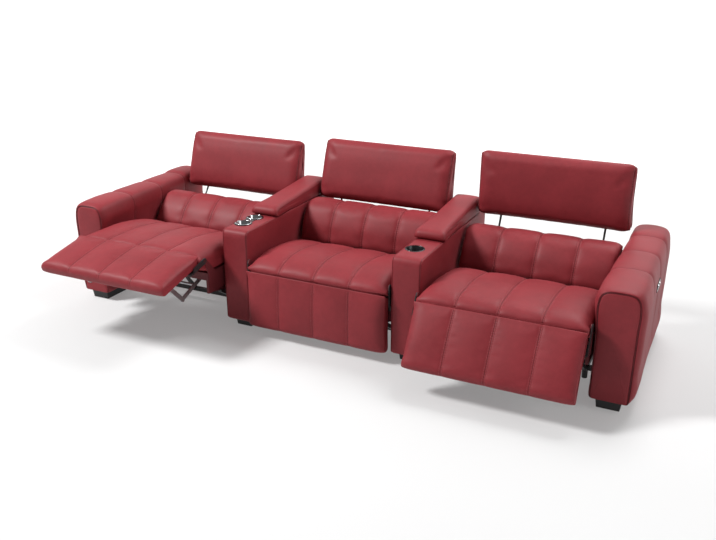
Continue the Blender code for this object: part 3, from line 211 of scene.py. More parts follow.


# %% [markdown]
# ## The leather
# Corrected-grain leather has pebbles of one to two millimetres under a thin, even colour
# coat. It shows as a soft, broad highlight, a slightly uneven tone where the hide was
# stretched, and darker valleys along each seam, where the thread puckers it. The dark of
# the valleys is painted shade in the colour, and the puckers are a bump. The meshes carry
# two numbers for this: how near a point is to a seam, and how far along it.

# %% Red leather
def leather(name, colour, roughness):
    coat = {"Coat_Weight": 0.04, "Coat_Roughness": 0.35, "Specular_IOR_Level": 0.27}
    hide = Finish(name, colour, roughness, **coat)
    pebbles = hide.cells(620.0)
    fine = hide.cells(1450.0)
    stretch = hide.cloud(5.5, 3.0)
    blotch = hide.cloud(38.0, 4.0, 0.6)
    seam = hide.stored("near_seam")
    along = hide.stored("along")
    tone = stretch * 0.55 + blotch * 0.30 + pebbles * 0.25
    deep = [c * 0.80 for c in colour]
    light = [c * 1.14 + 0.004 for c in colour]
    shade = [c * 0.36 for c in colour]
    skin_colour = hide.mix(deep, light, tone.between(0.25, 0.85))
    # Painted shade: near seams and grooves the colour is mixed towards a far darker red.
    hide.tint(skin_colour, shade, seam.between(0.62, 1.0) * 0.75)
    hide.feed("Roughness", stretch * 0.10 + blotch * 0.08 + pebbles * 0.06 + (roughness - 0.11))
    pucker = (along * 520.0).wave() * seam.between(0.15, 0.75) * 0.9
    grain = (1.0 - pebbles) * 0.34 + (1.0 - fine) * 0.12
    hide.bump(grain + pucker + blotch * 0.5, 0.0006, 0.55)
    return hide.material


RED = (0.222, 0.0180, 0.0245)
red_leather = leather("red_leather", RED, 0.58)
# Painted shade: the seat frame's leather is the same red at about half brightness, for the shade
# under the seat.
frame_leather_painted_shade = leather("frame_leather_painted_shade", (0.105, 0.011, 0.015), 0.55)
# Painted shade: the welt's leather is the red at about half brightness, for the dark line of the
# recessed groove it lies in.
welt_painted_shade = leather("welt_leather_painted_shade", (0.120, 0.010, 0.014), 0.42)
print("leather finishes", red_leather.name, frame_leather_painted_shade.name)

# %% [markdown]
# ## Thread, metal and plastic
# Thread is twisted, so a fine wave runs along it. Zinc-plated steel is faintly cloudy,
# powder coat has an orange-peel skin, and polished cups carry hair-fine turning marks.
# Moulded plastic gets a spark-eroded texture, the tiny pits of its mould.

# %% Thread and lining
thread = Finish("thread", (0.30, 0.045, 0.055), 0.62, Sheen_Weight=0.2)
twist = (thread.stored("along") * 4200.0).wave()
thread.tint((0.21, 0.026, 0.034), (0.40, 0.075, 0.085), twist.between(-1.0, 1.0))
thread.bump(twist, 0.0002)

lining = Finish("black_lining", (0.010, 0.010, 0.011), 0.92)
weave = lining.cells(900.0) * 0.6 + lining.cloud(260.0, 3.0) * 0.4
lining.tint((0.006, 0.006, 0.007), (0.022, 0.021, 0.022), weave)
lining.bump(weave, 0.0006)

# %% Steel, powder coat and polished steel
zinc = Finish("zinc_steel", (0.42, 0.42, 0.43), 0.38, 0.92)
spangle = zinc.cloud(60.0, 4.0, 0.65)
brushed = zinc.cloud(900.0, 2.0)
zinc.tint((0.26, 0.26, 0.27), (0.55, 0.55, 0.56), spangle)
zinc.feed("Roughness", spangle * 0.22 + 0.27)
zinc.bump(brushed, 0.0002, 0.4)

powder = Finish("black_steel", (0.018, 0.018, 0.020), 0.42, 0.2)
peel = powder.cloud(700.0, 2.0)
powder.tint((0.012, 0.012, 0.013), (0.032, 0.031, 0.032), peel)
powder.feed("Roughness", peel * 0.16 + 0.34)
powder.bump(peel, 0.0004, 0.5)

polished = Finish("polished_steel", (0.72, 0.73, 0.75), 0.14, 1.0)
turning = polished.cloud(1600.0, 2.0)
smudge = polished.cloud(30.0, 3.0)
polished.feed("Roughness", smudge * 0.10 + turning * 0.05 + 0.06)
polished.tint((0.40, 0.41, 0.42), (0.58, 0.59, 0.60), smudge)
polished.bump(turning, 0.0001, 0.25)

# %% Plastics
def moulded(name, colour, roughness, pit):
    plastic = Finish(name, colour, roughness)
    pits = plastic.cloud(pit, 2.0, 0.6)
    dust = plastic.cloud(45.0, 4.0)
    plastic.tint([c * 0.75 for c in colour], [c * 1.5 + 0.003 for c in colour], dust)
    plastic.feed("Roughness", dust * 0.12 + pits * 0.08 + (roughness - 0.10))
    plastic.bump(pits, 0.0003, 0.4)
    return plastic.material


black_plastic = moulded("black_plastic", (0.014, 0.014, 0.015), 0.42, 1500.0)
gloss_plastic = moulded("gloss_plastic", (0.008, 0.008, 0.009), 0.20, 2500.0)
foot_plastic = moulded("foot_plastic", (0.011, 0.011, 0.012), 0.55, 900.0)
print("finishes made:", len(bpy.data.materials))

# %% [markdown]
# ## The camera
# It stands in front of the sofa and to its right, a little under two metres up, and looks
# down 21 degrees. A lens of 41 mm gives the sofa its mild taper to the far end.

# %% Camera
lens = bpy.data.cameras.new("camera")
lens.lens = 40.88
lens.sensor_width = 36.0
lens.clip_end = 60.0
camera = bpy.data.objects.new("camera", lens)
bpy.context.scene.collection.objects.link(camera)
camera.location = (1.963, -3.502 + FRONT, 1.985)
camera.rotation_euler = (math.radians(69.09), 0.0, math.radians(25.99))
bpy.context.scene.camera = camera
print("camera", [round(v, 3) for v in camera.location])

# %% [markdown]
# ## Skinning a form over rings
# Upholstery is cut from flat hides and pulled over foam, so nearly every piece here is a
# row of similar outlines, one after the other. Each outline is a closed loop of evenly
# spaced points, and moving the points inwards rounds an end over or sinks a seam. The
# inward directions are averaged along the loop, so sharp corners don't fold over.

# %% Loops and rings
def flowing(points, spacing=0.012):
    """A smooth line through points; further columns run smoothly with it."""
    rows = np.array(points, float)
    steps = np.linalg.norm(np.diff(rows[:, :2], axis=0), axis=1)
    slopes = np.diff(rows, axis=0) / steps[:, None]
    middle = slopes[:-1] * steps[1:, None] + slopes[1:] * steps[:-1, None]
    tangents = np.vstack([slopes[:1], middle / (steps[:-1] + steps[1:])[:, None], slopes[-1:]])
    line = []
    for i, step in enumerate(steps):
        parts = max(1, int(round(step / spacing)))
        for t in np.arange(parts) / parts:
            low = (1 + 2 * t) * (1 - t) ** 2 * rows[i] + t * (1 - t) ** 2 * step * tangents[i]
            high = t * t * (3 - 2 * t) * rows[i + 1] + t * t * (t - 1) * step * tangents[i + 1]
            line.append(tuple(low + high))
    return line + [tuple(rows[-1])]


def lengths_along(points):
    steps = np.linalg.norm(np.diff(points, axis=0), axis=1)
    return np.concatenate([[0.0], np.cumsum(steps)])


def at_lengths(points, length, at):
    """The points of a path at some distances along it."""
    return np.stack([np.interp(at, length, column) for column in points.T], 1)


def circle(count):
    """Even angles of a full turn."""
    return np.arange(count) * 2 * math.pi / count


def rounded_loop(points, count, cuts=2):
    """An even loop through corner points, with its corners cut round."""
    rows = np.array(points, float)
    for _ in range(cuts):
        after = np.roll(rows, -1, axis=0)
        rows = np.stack([0.75 * rows + 0.25 * after, 0.25 * rows + 0.75 * after], 1)
        rows = rows.reshape(-1, rows.shape[2])
    y, z = rows[:, 0], rows[:, 1]
    if np.sum(y * np.roll(z, -1) - np.roll(y, -1) * z) < 0:
        rows = rows[::-1]
    ring = np.vstack([rows, rows[:1]])
    length = lengths_along(ring[:, :2])
    at = np.linspace(0.0, length[-1], count, endpoint=False)
    return at_lengths(ring, length, at), length[-1] / count


def inward(loop, step, reach):
    """The inward directions of a loop, averaged over about the reach on both sides."""
    along = np.roll(loop[:, :2], -1, axis=0) - np.roll(loop[:, :2], 1, axis=0)
    along /= np.linalg.norm(along, axis=1)[:, None] + 1e-12
    normal = np.stack([-along[:, 1], along[:, 0]], 1)
    width = max(1, int(round(reach / step)))
    total = sum(np.roll(normal, k, axis=0) for k in range(-width, width + 1))
    return total / (2 * width + 1)


def skin(rings):
    """A mesh over equal rings, closed by a flat face at each end."""
    rings = np.asarray(rings, float)
    rows, count = rings.shape[:2]
    base = np.arange(rows - 1)[:, None] * count + np.arange(count)
    after = np.roll(base, -1, axis=1)
    quads = np.stack([base, after, after + count, base + count], -1).reshape(-1, 4).tolist()
    quads.append(list(range(count - 1, -1, -1)))
    quads.append(list(range((rows - 1) * count, rows * count)))
    mesh = bpy.data.meshes.new("form")
    mesh.from_pydata(rings.reshape(-1, 3).tolist(), [], quads)
    faced = bmesh.new()
    faced.from_mesh(mesh)
    bmesh.ops.recalc_face_normals(faced, faces=faced.faces)
    faced.to_mesh(mesh)
    faced.free()
    mesh.shade_smooth()
    return mesh


def store(mesh, name, values):
    numbers = mesh.attributes.new(name, "FLOAT", "POINT")
    numbers.data.foreach_set("value", np.asarray(values, np.float32).ravel())


def leather_mesh(rings, near, steps):
    """A mesh over rings that knows how near its points are to a seam, and how far along."""
    mesh = skin(rings)
    along = np.reshape(steps, (-1, 1)) * np.arange(len(rings[0]))
    store(mesh, "near_seam", near)
    store(mesh, "along", np.broadcast_to(along, np.shape(near)))
    return mesh


def show(mesh, name, finish):
    """Put a mesh in the scene with its finish."""
    mesh.name = name
    mesh.materials.clear()
    mesh.materials.append(finish)
    piece = bpy.data.objects.new(name, mesh)
    bpy.context.scene.collection.objects.link(piece)
    return piece


def applied(piece):
    """Turn what a piece's modifiers make into its own mesh."""
    graph = bpy.context.evaluated_depsgraph_get()
    mesh = bpy.data.meshes.new_from_object(piece.evaluated_get(graph))
    piece.modifiers.clear()
    piece.data = mesh


def on_body(piece, where, body, nodes=()):
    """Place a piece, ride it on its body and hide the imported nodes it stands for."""
    piece.data.transform(where)
    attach(piece, body)
    if nodes:
        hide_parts(*nodes)


print("helpers ready")

# %% [markdown]
# ## Padded panels with sewn channels
# A channelled cushion is one cover, quilted to its foam along lines. Each line is a lapped
# seam: a narrow valley, the join in its middle and a row of stitches on both sides. The
# form below starts as an exact loft with those valleys; the points along them are held, and
# a short cloth simulation with pressure inside fills the cover out between them.

# %% The seam's shape across
SEAM_OFFSETS = (0.0, 0.0018, 0.0045, 0.0072, 0.0115, 0.019, 0.030, 0.046, 0.066, 0.085)
SEAM_DEPTHS = (1.0, 0.74, 0.62, 0.80, 0.52, 0.30, 0.15, 0.06, 0.015, 0.0)
STITCH_OFFSET = 0.0072
HELD = 0.012
HELD_GIVE = 0.06
SIDE_GIVE = 0.2


def seam_sink(distance):
    return np.interp(np.abs(distance), SEAM_OFFSETS, SEAM_DEPTHS)


def seam_closeness(distance):
    return np.interp(np.abs(distance), (0.0, 0.0020, 0.0065, 0.034), (1.0, 0.72, 0.5, 0.0))


def seam_marks(seams, offsets):
    """The places beside each seam where its valley needs a ring."""
    return {round(s * o + at, 5) for at in seams for o in offsets for s in (-1, 1)}


def ruled(marks, spacing=0.020):
    """Places from the first mark up to the last at about a spacing, on every mark."""
    places = []
    for low, high in zip(marks, marks[1:]):
        parts = max(1, int(round((high - low) / spacing)))
        places += [low + (high - low) * k / parts for k in range(parts)]
    return places


def across_stations(half, edge, reach, seams):
    """The x of each ring, how far its outline is drawn in and its share of the side."""
    inner = half - reach
    marks = {m for m in seam_marks(seams, SEAM_OFFSETS[:8]) if abs(m) < inner - 0.004}
    stations = [(x, 0.0, 0.0) for x in ruled(sorted(marks | {-inner, inner}))]
    side = []
    for degrees in (0, 17, 31, 43, 54, 64, 73, 81, 90):
        angle = math.radians(degrees)
        share = math.sin(angle)
        side.append((inner + reach * share, edge * (1 - math.cos(angle)), share))
    side += [(half + 0.0004, edge + turned_in, 1.0) for turned_in in (0.010, 0.022)]
    return [(-x, inset, share) for x, inset, share in reversed(side)] + stations[1:] + side


# %% Lofting a pad
GUSSET = math.sin(math.radians(54))
GUSSET_SHARES = (0.60, 0.72, GUSSET, 0.90, 1.0)
GUSSET_NEAR = (0.0, 0.55, 1.0, 0.55, 0.0)
GUSSET_DEPTH = 0.0045
GUSSET_STITCH = 0.0045
PUFF_LIMIT = 0.006
COVER = {"quality": 4, "mass": 0.3, "tension_stiffness": 12.0, "compression_stiffness": 12.0,
         "shear_stiffness": 6.0, "bending_stiffness": 0.8, "shrink_min": -0.003,
         "vertex_group_mass": "held", "pin_stiffness": 1.0, "use_pressure": True}


def side_give(give):
    """How far the outline's points follow the rounding of the sides."""
    return HELD_GIVE if give < 0 else max(give, SIDE_GIVE)


def loft_pad(outline, half, edge, reach, draw, seams, depth, count):
    """A pad over rows of y, z and give; a give below zero holds the point in place."""
    rows = [(y, z, max(give, 0.0), side_give(give)) for y, z, give in outline]
    loop, step = rounded_loop(rows, count, 1)
    give, follow = np.clip(loop[:, 2], 0.0, 1.0), np.clip(loop[:, 3], HELD_GIVE, 1.0)
    short = inward(loop, step, 0.006)
    broad = inward(loop, step, 0.9 * edge)
    tall = np.ptp(loop[:, 1]) > np.ptp(loop[:, 0])
    run = loop[:, 1] if tall else loop[:, 0]
    drawn = draw * np.sin(math.pi * (run - run.min()) / np.ptp(run))
    firm = np.clip(1.1 - 1.3 * give, 0.0, 1.0)
    rings, hold, near, gussets = [], [], [], []
    for x, inset, share in across_stations(half, edge, reach, seams):
        gaps = [x - s for s in seams] or [1.0]
        closest = min(gaps, key=abs)
        sink = depth * sum(seam_sink(g) for g in gaps)
        gusset = 0.0 if seams else float(np.interp(share, GUSSET_SHARES, GUSSET_NEAR))
        sink += GUSSET_DEPTH * gusset ** 3
        flat = loop[:, :2] + broad * (inset * follow)[:, None] + short * (sink * give)[:, None]
        shift = -math.copysign(1.0, x) * drawn * share ** 4
        rings.append(np.column_stack([x + shift, flat]))
        if gusset > 0.95:
            gussets.append(rings[-1][loop[:, 2] > 0.25])
        hold.append(np.maximum(firm, float(abs(closest) < HELD or share > 0.9)))
        # Near a seam or gusset the leather is darkened here: painted shade for the valley.
        near.append(np.maximum(seam_closeness(closest), gusset) * np.clip(give * 2, 0, 1))
    mesh = leather_mesh(rings, near, step)
    store(mesh, "hold", hold)
    return mesh, gussets


def coordinates(mesh):
    points = np.empty(len(mesh.vertices) * 3, np.float32)
    mesh.vertices.foreach_get("co", points)
    return points.reshape(-1, 3)


def puff(pieces, pressure, frames=20):
    """Fill covers out with a cloth simulation; held points stay where they are."""
    scene = bpy.context.scene
    rest = {}
    for piece in pieces:
        mesh = piece.data
        hold = np.empty(len(mesh.vertices), np.float32)
        mesh.attributes["hold"].data.foreach_get("value", hold)
        group = piece.vertex_groups.new(name="held")
        for level in np.unique(np.round(hold, 2)):
            chosen = np.nonzero(np.abs(hold - level) < 0.006)[0].tolist()
            group.add(chosen, float(level), "REPLACE")
        cloth = piece.modifiers.new("fill", "CLOTH")
        for setting, value in COVER.items():
            setattr(cloth.settings, setting, value)
        cloth.settings.uniform_pressure_force = pressure
        cloth.settings.effector_weights.gravity = 0.0
        cloth.collision_settings.use_collision = False
        cloth.point_cache.frame_start = 1
        cloth.point_cache.frame_end = frames
        rest[piece.name] = coordinates(mesh)
    for number in range(1, frames + 1):
        scene.frame_set(number)
    graph = bpy.context.evaluated_depsgraph_get()
    for piece in pieces:
        before = rest[piece.name]
        moved = coordinates(piece.evaluated_get(graph).data) - before
        size = np.linalg.norm(moved, axis=1)
        keep = np.minimum(1.0, PUFF_LIMIT / np.maximum(size, 1e-9))
        piece.modifiers.clear()
        piece.vertex_groups.clear()
        piece.data.vertices.foreach_set("co", (before + moved * keep[:, None]).ravel())
        piece.data.update()
        print(piece.name, "moved up to", round(float(size.max()) * 1000, 1), "mm")
    scene.frame_set(1)


def smoothed(piece):
    """Subdivide a piece once and keep the result as its mesh."""
    finer = piece.modifiers.new("finer", "SUBSURF")
    finer.levels = finer.render_levels = 1
    applied(piece)
    piece.data.shade_smooth()


# %% [markdown]
# ## Stitches
# Each stitch is a short length of thread lying on the leather, its ends pulled down. They
# are tiny tubes with five sides, laid along a path that is first dropped onto the finished
# surface, so they follow whatever the simulation did.

# %% Laying stitches
STITCH_PITCH = 0.0085
STITCH_LENGTH = 0.0058
THREAD_RADIUS = 0.0006
STITCHED_GIVE = 0.3


def even_path(points, pitch):
    """Points at an even pitch along a path."""
    length = lengths_along(points)
    count = max(2, int(length[-1] / pitch))
    return at_lengths(points, length, (np.arange(count) + 0.5) * length[-1] / count)


def surface_of(piece):
    graph = bpy.context.evaluated_depsgraph_get()
    return BVHTree.FromObject(piece, graph)


def stitches(name, surface, paths):
    """One mesh of stitches laid along paths on a surface."""
    centres, tangents, normals = [], [], []
    for path in paths:
        path = even_path(path, STITCH_PITCH)
        for i, point in enumerate(path):
            ahead = Vector(path[min(i + 1, len(path) - 1)] - path[max(i - 1, 0)])
            spot, normal, _, _ = surface.find_nearest(Vector(point))
            if spot is None or ahead.length < 1e-9:
                continue
            centres.append(spot)
            tangents.append(ahead.normalized())
            normals.append(normal)
    centres, tangents, normals = (np.array(v, float) for v in (centres, tangents, normals))
    sides = np.cross(tangents, normals)
    sides /= np.linalg.norm(sides, axis=1)[:, None] + 1e-12
    rings = ((-0.5, 0.45, -0.5), (-0.3, 1.0, 0.35), (0.3, 1.0, 0.35), (0.5, 0.45, -0.5))
    turns = circle(5)
    verts, values = [], []
    for along, thick, rise in rings:
        centre = centres + tangents * along * STITCH_LENGTH + normals * rise * THREAD_RADIUS
        for turn in turns:
            out = sides * math.cos(turn) + normals * math.sin(turn)
            verts.append(centre + out * thick * THREAD_RADIUS)
            values.append(np.full(len(centres), along * STITCH_LENGTH))
    verts = np.stack(verts, 1)
    faces = []
    for k in range(15):
        after = k - 4 if k % 5 == 4 else k + 1
        faces.append((k, after, after + 5, k + 5))
    faces += [(4, 3, 2, 1, 0), (15, 16, 17, 18, 19)]
    every = [tuple(20 * i + v for v in face) for i in range(len(centres)) for face in faces]
    mesh = bpy.data.meshes.new(name)
    mesh.from_pydata(verts.reshape(-1, 3).tolist(), [], every)
    store(mesh, "along", np.stack(values, 1))
    mesh.shade_smooth()
    return show(mesh, name, thread.material)


def seam_paths(outline, count, seams):
    """Both rows of stitches of each channel seam, along the part that shows."""
    loop, _ = rounded_loop(outline, count, 1)
    shown = loop[:, 2] > STITCHED_GIVE
    start = int(np.argmin(shown))
    visible = np.roll(loop, -start, axis=0)[np.roll(shown, -start), :2]
    beside = [seam + side for seam in seams for side in (-STITCH_OFFSET, STITCH_OFFSET)]
    return [np.column_stack([np.full(len(visible), x), visible]) for x in beside]


# %% [markdown]
# ## The cushions
# Each seat has four soft parts. The seat cushion crowns in the middle and rolls over its
# front. The footrest pad hangs below it, with a hollow top that turns round the roll. The
# back cushion is a thick lumbar pad that the seat pushes up at its foot, and the headrest is
# a plain pillow on two posts. Outlines run round each one from the side.

# %% Outlines of the four soft parts
NOSE_RADIUS = 0.0532
HOLLOW_RADIUS = 0.0556
CUSHION_HALF = 0.419
SEAMS = (-0.2110, 0.0, 0.2110)
SEAT_CROWN = 0.468
NOSE_END = 205
NOSE_SWINGS = (0.0, 30.4, 76.5)
NOSE_RISE = (((-0.013, -0.0085, 0.012), (0.418, 0.4445, 0.4655)),
             ((0.024, 0.030, 0.040), (0.442, 0.460, 0.4675)))


def arc(centre, radius, start, end, steps):
    angles = np.radians(np.linspace(start, end, steps + 1))
    return [(centre[0] + radius * math.cos(a), centre[1] + radius * math.sin(a)) for a in angles]


def mixed(a, b, share):
    return tuple(p + (q - p) * share for p, q in zip(a, b))


def seat_outline(swing):
    """The nose leaves its roll at the footrest's lip and runs on from the pad's slope."""
    open_share = swing / FOOTREST_SWING
    nose = arc(FOOTREST_AXIS, NOSE_RADIUS, 276, NOSE_END - swing, 9)
    fade = np.interp(np.linspace(0, 1, 10), (0, 0.33, 0.67, 1),
                     (-0.01, 0.2, 0.35, 0.5 + 0.4 * open_share))
    front = [(*p, give) for p, give in zip(nose, fade)]
    rise = [tuple(np.interp(swing, NOSE_SWINGS, column) for column in point) for point in NOSE_RISE]
    crown = SEAT_CROWN
    top = [(0.10, crown - 0.004 * (1 - open_share)), (0.23, crown), (0.36, crown - 0.015),
           (0.497, crown - 0.048), (0.537, crown - 0.068), (0.547, crown - 0.092)]
    shown = flowing(front + [(*p, 1.0) for p in rise + top])
    bottom = [(0.541, 0.352, 0.0), (0.529, 0.336, 0.0), (0.40, 0.336, 0.0), (0.20, 0.336, 0.0),
              (0.068, 0.336, 0.0), (0.049, 0.346, 0.0), (0.046, 0.364, -1.0)]
    return shown + bottom


def footrest_outline():
    hollow = [(*p, -1.0) for p in arc(FOOTREST_AXIS, HOLLOW_RADIUS, 209, 276, 9)]
    back = [(0.0338, 0.30, 0.0), (0.0338, 0.20, 0.0), (0.0338, 0.10, 0.0), (0.0335, 0.077, 0.0),
            (0.026, 0.061, 0.1)]
    front = [(-0.016, 0.057, 0.4), (-0.035, 0.071, 0.8), (-0.040, 0.117, 1.0), (-0.041, 0.200, 1.0),
             (-0.036, 0.300, 0.9), (-0.0305, 0.355, 0.7), (-0.0262, 0.380, 0.45)]
    return flowing(back[-1:] + front) + hollow + back[:-1]


def shell_line(z):
    return 0.795 + math.tan(math.radians(LEAN)) * (z - 0.59)


def back_outline():
    front = [(0.598, 0.370, 0.0), (0.578, 0.377, 1.0), (0.566, 0.400, 1.0), (0.573, 0.445, 1.0),
             (0.585, 0.495, 1.0), (0.611, 0.545, 1.0), (0.641, 0.588, 1.0), (0.684, 0.612, 1.0),
             (0.735, 0.616, 1.0), (0.782, 0.607, 1.0), (0.800, 0.592, 0.0)]
    rear = [(shell_line(z) - 0.0005, z, 0.0) for z in (0.585, 0.52, 0.45, 0.40)]
    return flowing(front) + rear + [(shell_line(0.40) - 0.018, 0.370, 0.0)]


def leaning(across, along):
    lean = math.radians(LEAN)
    y = HEADREST_AXIS[0] + across * math.cos(lean) + along * math.sin(lean)
    return y, HEADREST_AXIS[1] - across * math.sin(lean) + along * math.cos(lean)


def headrest_outline():
    slot = [(-0.023, -0.030), (-0.0100, -0.004), (-0.0088, 0.0045), (0.0, 0.0098),
            (0.0088, 0.0045), (0.0096, -0.030)]
    around = [(0.032, -0.031, 0.9), (0.048, -0.022, 1.0), (0.056, 0.015, 1.0), (0.048, 0.10, 1.0),
              (0.030, 0.20, 1.0), (0.008, 0.294, 1.0), (-0.006, 0.325, 1.0), (-0.026, 0.343, 1.0),
              (-0.043, 0.345, 1.0), (-0.066, 0.324, 1.0), (-0.080, 0.266, 1.0),
              (-0.088, 0.15, 1.0), (-0.082, 0.020, 1.0), (-0.072, -0.018, 1.0),
              (-0.053, -0.032, 0.9)]
    held = [(*leaning(*p), -1.0) for p in slot]
    return held + [(*leaning(a, b), give) for a, b, give in flowing(around)]


print("outlines drawn")

# %% Making the pads of every seat
# Each row: the body, outline and half width, the depth and reach of the rounded sides, how
# far the ends draw in, the seams and their depth, the points round it and the pressure.
SEAT_PARTS = {
    "seat_cushion":
        ("seat", None, CUSHION_HALF, 0.060, 0.09, 0.006, SEAMS, 0.0085, 96, 1.3),
    "footrest_pad":
        ("footrest", footrest_outline, CUSHION_HALF - 0.001, 0.032, 0.065, 0.003,
         SEAMS, 0.0060, 72, 0.7),
    "back_cushion":
        ("backrest", back_outline, 0.416, 0.026, 0.045, 0.004, SEAMS, 0.0080, 66, 1.3),
    "headrest_pad":
        ("headrest", headrest_outline, 0.4265, 0.036, 0.050, 0.005, (), 0.0, 72, 2.0),
}
pads = []
for side in SEATS:
    for part, (body, outline, *form, pressure) in SEAT_PARTS.items():
        rows = seat_outline(SEATS[side][1]) if outline is None else outline()
        mesh, gussets = loft_pad(rows, *form)
        piece = show(mesh, f"{part.replace('_', '_cover_')}_{side}", red_leather)
        paths = seam_paths(rows, form[6], form[4])
        paths += [row + (step, 0, 0) for row in gussets for step in (-GUSSET_STITCH, GUSSET_STITCH)]
        pads.append((piece, side, part, body, paths, pressure))
print("pads lofted:", len(pads), "points:", sum(len(p[0].data.vertices) for p in pads))

# %% Filling them out
for pressure in sorted({entry[-1] for entry in pads}):
    puff([entry[0] for entry in pads if entry[-1] == pressure], pressure)

for piece, side, part, body, paths, pressure in pads:
    smoothed(piece)
    where = seat_place(side, body)
    sewn = stitches(f"{part}_stitches_{side}", surface_of(piece), paths)
    on_body(sewn, where, f"{body}_{side}")
    on_body(piece, where, f"{body}_{side}", [f"{part}_{side}"])
print("cushions finished")

# %% [markdown]
# ## The hinge cover
# Under the edge of the footrest pad a strip of leather is sewn to both parts. It slides
# round the roll of the seat as the footrest swings, and closes the slit between them. It is
# the one piece here that belongs to two bodies, so it is drawn once where the footrest
# stands at rest and rides on neither.

# %% A strip that rolls with the hinge
COVER_RADIUS = 0.0543
COVER_THICKNESS = 0.0009
COVER_HALF = 0.385
COVER_FOOT, COVER_LIP = 262.0, 211.5
for side, (_, swing, _, _) in SEATS.items():
    lip = COVER_LIP - swing
    outer = arc(FOOTREST_AXIS, COVER_RADIUS, lip, COVER_FOOT, 24)
    inner = arc(FOOTREST_AXIS, COVER_RADIUS - COVER_THICKNESS, COVER_FOOT, lip, 24)
    across = np.linspace(-COVER_HALF, COVER_HALF, 9)
    mesh = skin([[(x, y, z) for y, z in outer + inner] for x in across])
    mesh.transform(seat_place(side, "seat"))
    cover = show(mesh, f"hinge_cover_{side}", red_leather)
    for degrees in (COVER_FOOT, lip):
        point = arc(FOOTREST_AXIS, COVER_RADIUS, degrees, degrees, 1)[0]
        tuple(seat_place(side, "seat") @ Vector((0, *point)))
    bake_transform(cover)
print("hinge covers:", len(SEATS))

# %% [markdown]
# ## The arms
# An arm is a wooden box with foam over its top and outer side. Its cover is one long piece
# with three seams across, so it swells between them, and it turns in round the front board.
# The front board is covered on its own and set in behind a welt, a cord sewn into a strip.

# %% The arm's outline at each place along it
ARM_INNER = 1.46
ARM_WIDTH = 0.185
ARM_TOP = 0.616
PANEL_TOP = 0.60
ARM_CROWN = 0.006
ARM_DEPTH = 1.05
ARM_RADIUS = 0.045
ARM_SEAMS = (0.30, 0.58, 0.83)
PUFF_MIDDLES = (0.15, 0.44, 0.705, 0.93)
SWELL_IN = (0.024, 0.014, 0.006, 0.003)
SWELL_OUT = (0.031, 0.0165, 0.018, 0.018)
ARM_POINTS = 84
FOOT_HEIGHT = 0.05


def arm_loop(inner, outer, drop=0.0):
    x0, x1 = ARM_INNER, ARM_INNER + ARM_WIDTH
    z0, z1 = FOOT_HEIGHT, ARM_TOP - drop
    tall, radius = z1 - z0, ARM_RADIUS
    points = [(x1 - 0.006, z0), (x1 + 0.3 * outer, z0 + 0.015), (x1 + 0.8 * outer, z0 + 0.3 * tall),
              (x1 + outer, z0 + 0.62 * tall), (x1 + 0.9 * outer, z1 - 1.6 * radius)]
    points += arc((x1 + 0.6 * outer - radius, z1 - radius), radius, 12, 80, 5)
    points.append(((x0 + x1) / 2, z1 + ARM_CROWN))
    points += arc((x0 - 0.6 * inner + radius, z1 - radius), radius, 100, 168, 5)
    points += [(x0 - inner, z1 - 1.6 * radius), (x0 - 0.55 * inner, z1 - 2.8 * radius),
               (x0 - 0.12 * inner, z1 - 4.2 * radius), (x0, z0 + 0.10), (x0, z0 + 0.015),
               (x0 + 0.006, z0)]
    return rounded_loop(flowing(points), ARM_POINTS, 0)


def arm_shape(y):
    """How far the foam stands in and out at a place along the arm, and how its top falls."""
    ends = (0.0,) + ARM_SEAMS + (ARM_DEPTH + 0.02,)
    low, high = next((a, b) for a, b in zip(ends, ends[1:]) if y <= b)
    swell = math.sin(math.pi * min(1.0, max(0.0, (y - low) / (high - low)))) ** 0.5
    inner = np.interp(y, PUFF_MIDDLES, SWELL_IN) * (0.82 + 0.18 * swell)
    outer = np.interp(y, PUFF_MIDDLES, SWELL_OUT) * (0.92 + 0.08 * swell)
    rear = min(1.0, max(0.0, (ARM_DEPTH - y) / 0.10))
    drop = np.interp(y, (0.02, 0.07, 0.16, 0.79, 0.87), (0.009, 0.004, 0.0, 0.0, -0.010))
    return inner, outer * (0.35 + 0.65 * rear), drop - 0.0015 * swell


def panel_loop(inset):
    """The front board's outline, drawn in by an inset."""
    x0, x1 = ARM_INNER + inset, ARM_INNER + ARM_WIDTH + 0.003 - inset
    z0, z1 = FOOT_HEIGHT + 0.003, PANEL_TOP - inset
    radius = 0.046 - inset
    points = [(x1 - 0.002, z0), (x1, z0 + 0.15), (x1 + 0.002, z0 + 0.35)]
    points += arc((x1 - radius, z1 - radius), radius, 6, 84, 5) + [((x0 + x1) / 2, z1 + 0.0015)]
    points += arc((x0 + radius, z1 - radius), radius, 96, 174, 5)
    points += [(x0, z0 + 0.35), (x0, z0 + 0.15), (x0, z0)]
    return rounded_loop(flowing(points), ARM_POINTS, 0)


# %% The arm's cover
PANEL_INSET = 0.0075
ROLL_START, ROLL_DEPTH = 0.0028, 0.042
REAR_ROUND, REAR_INSET = 0.052, 0.040
ARM_SEAM_DEPTH = 0.0062
STITCH_FOOT = 0.17


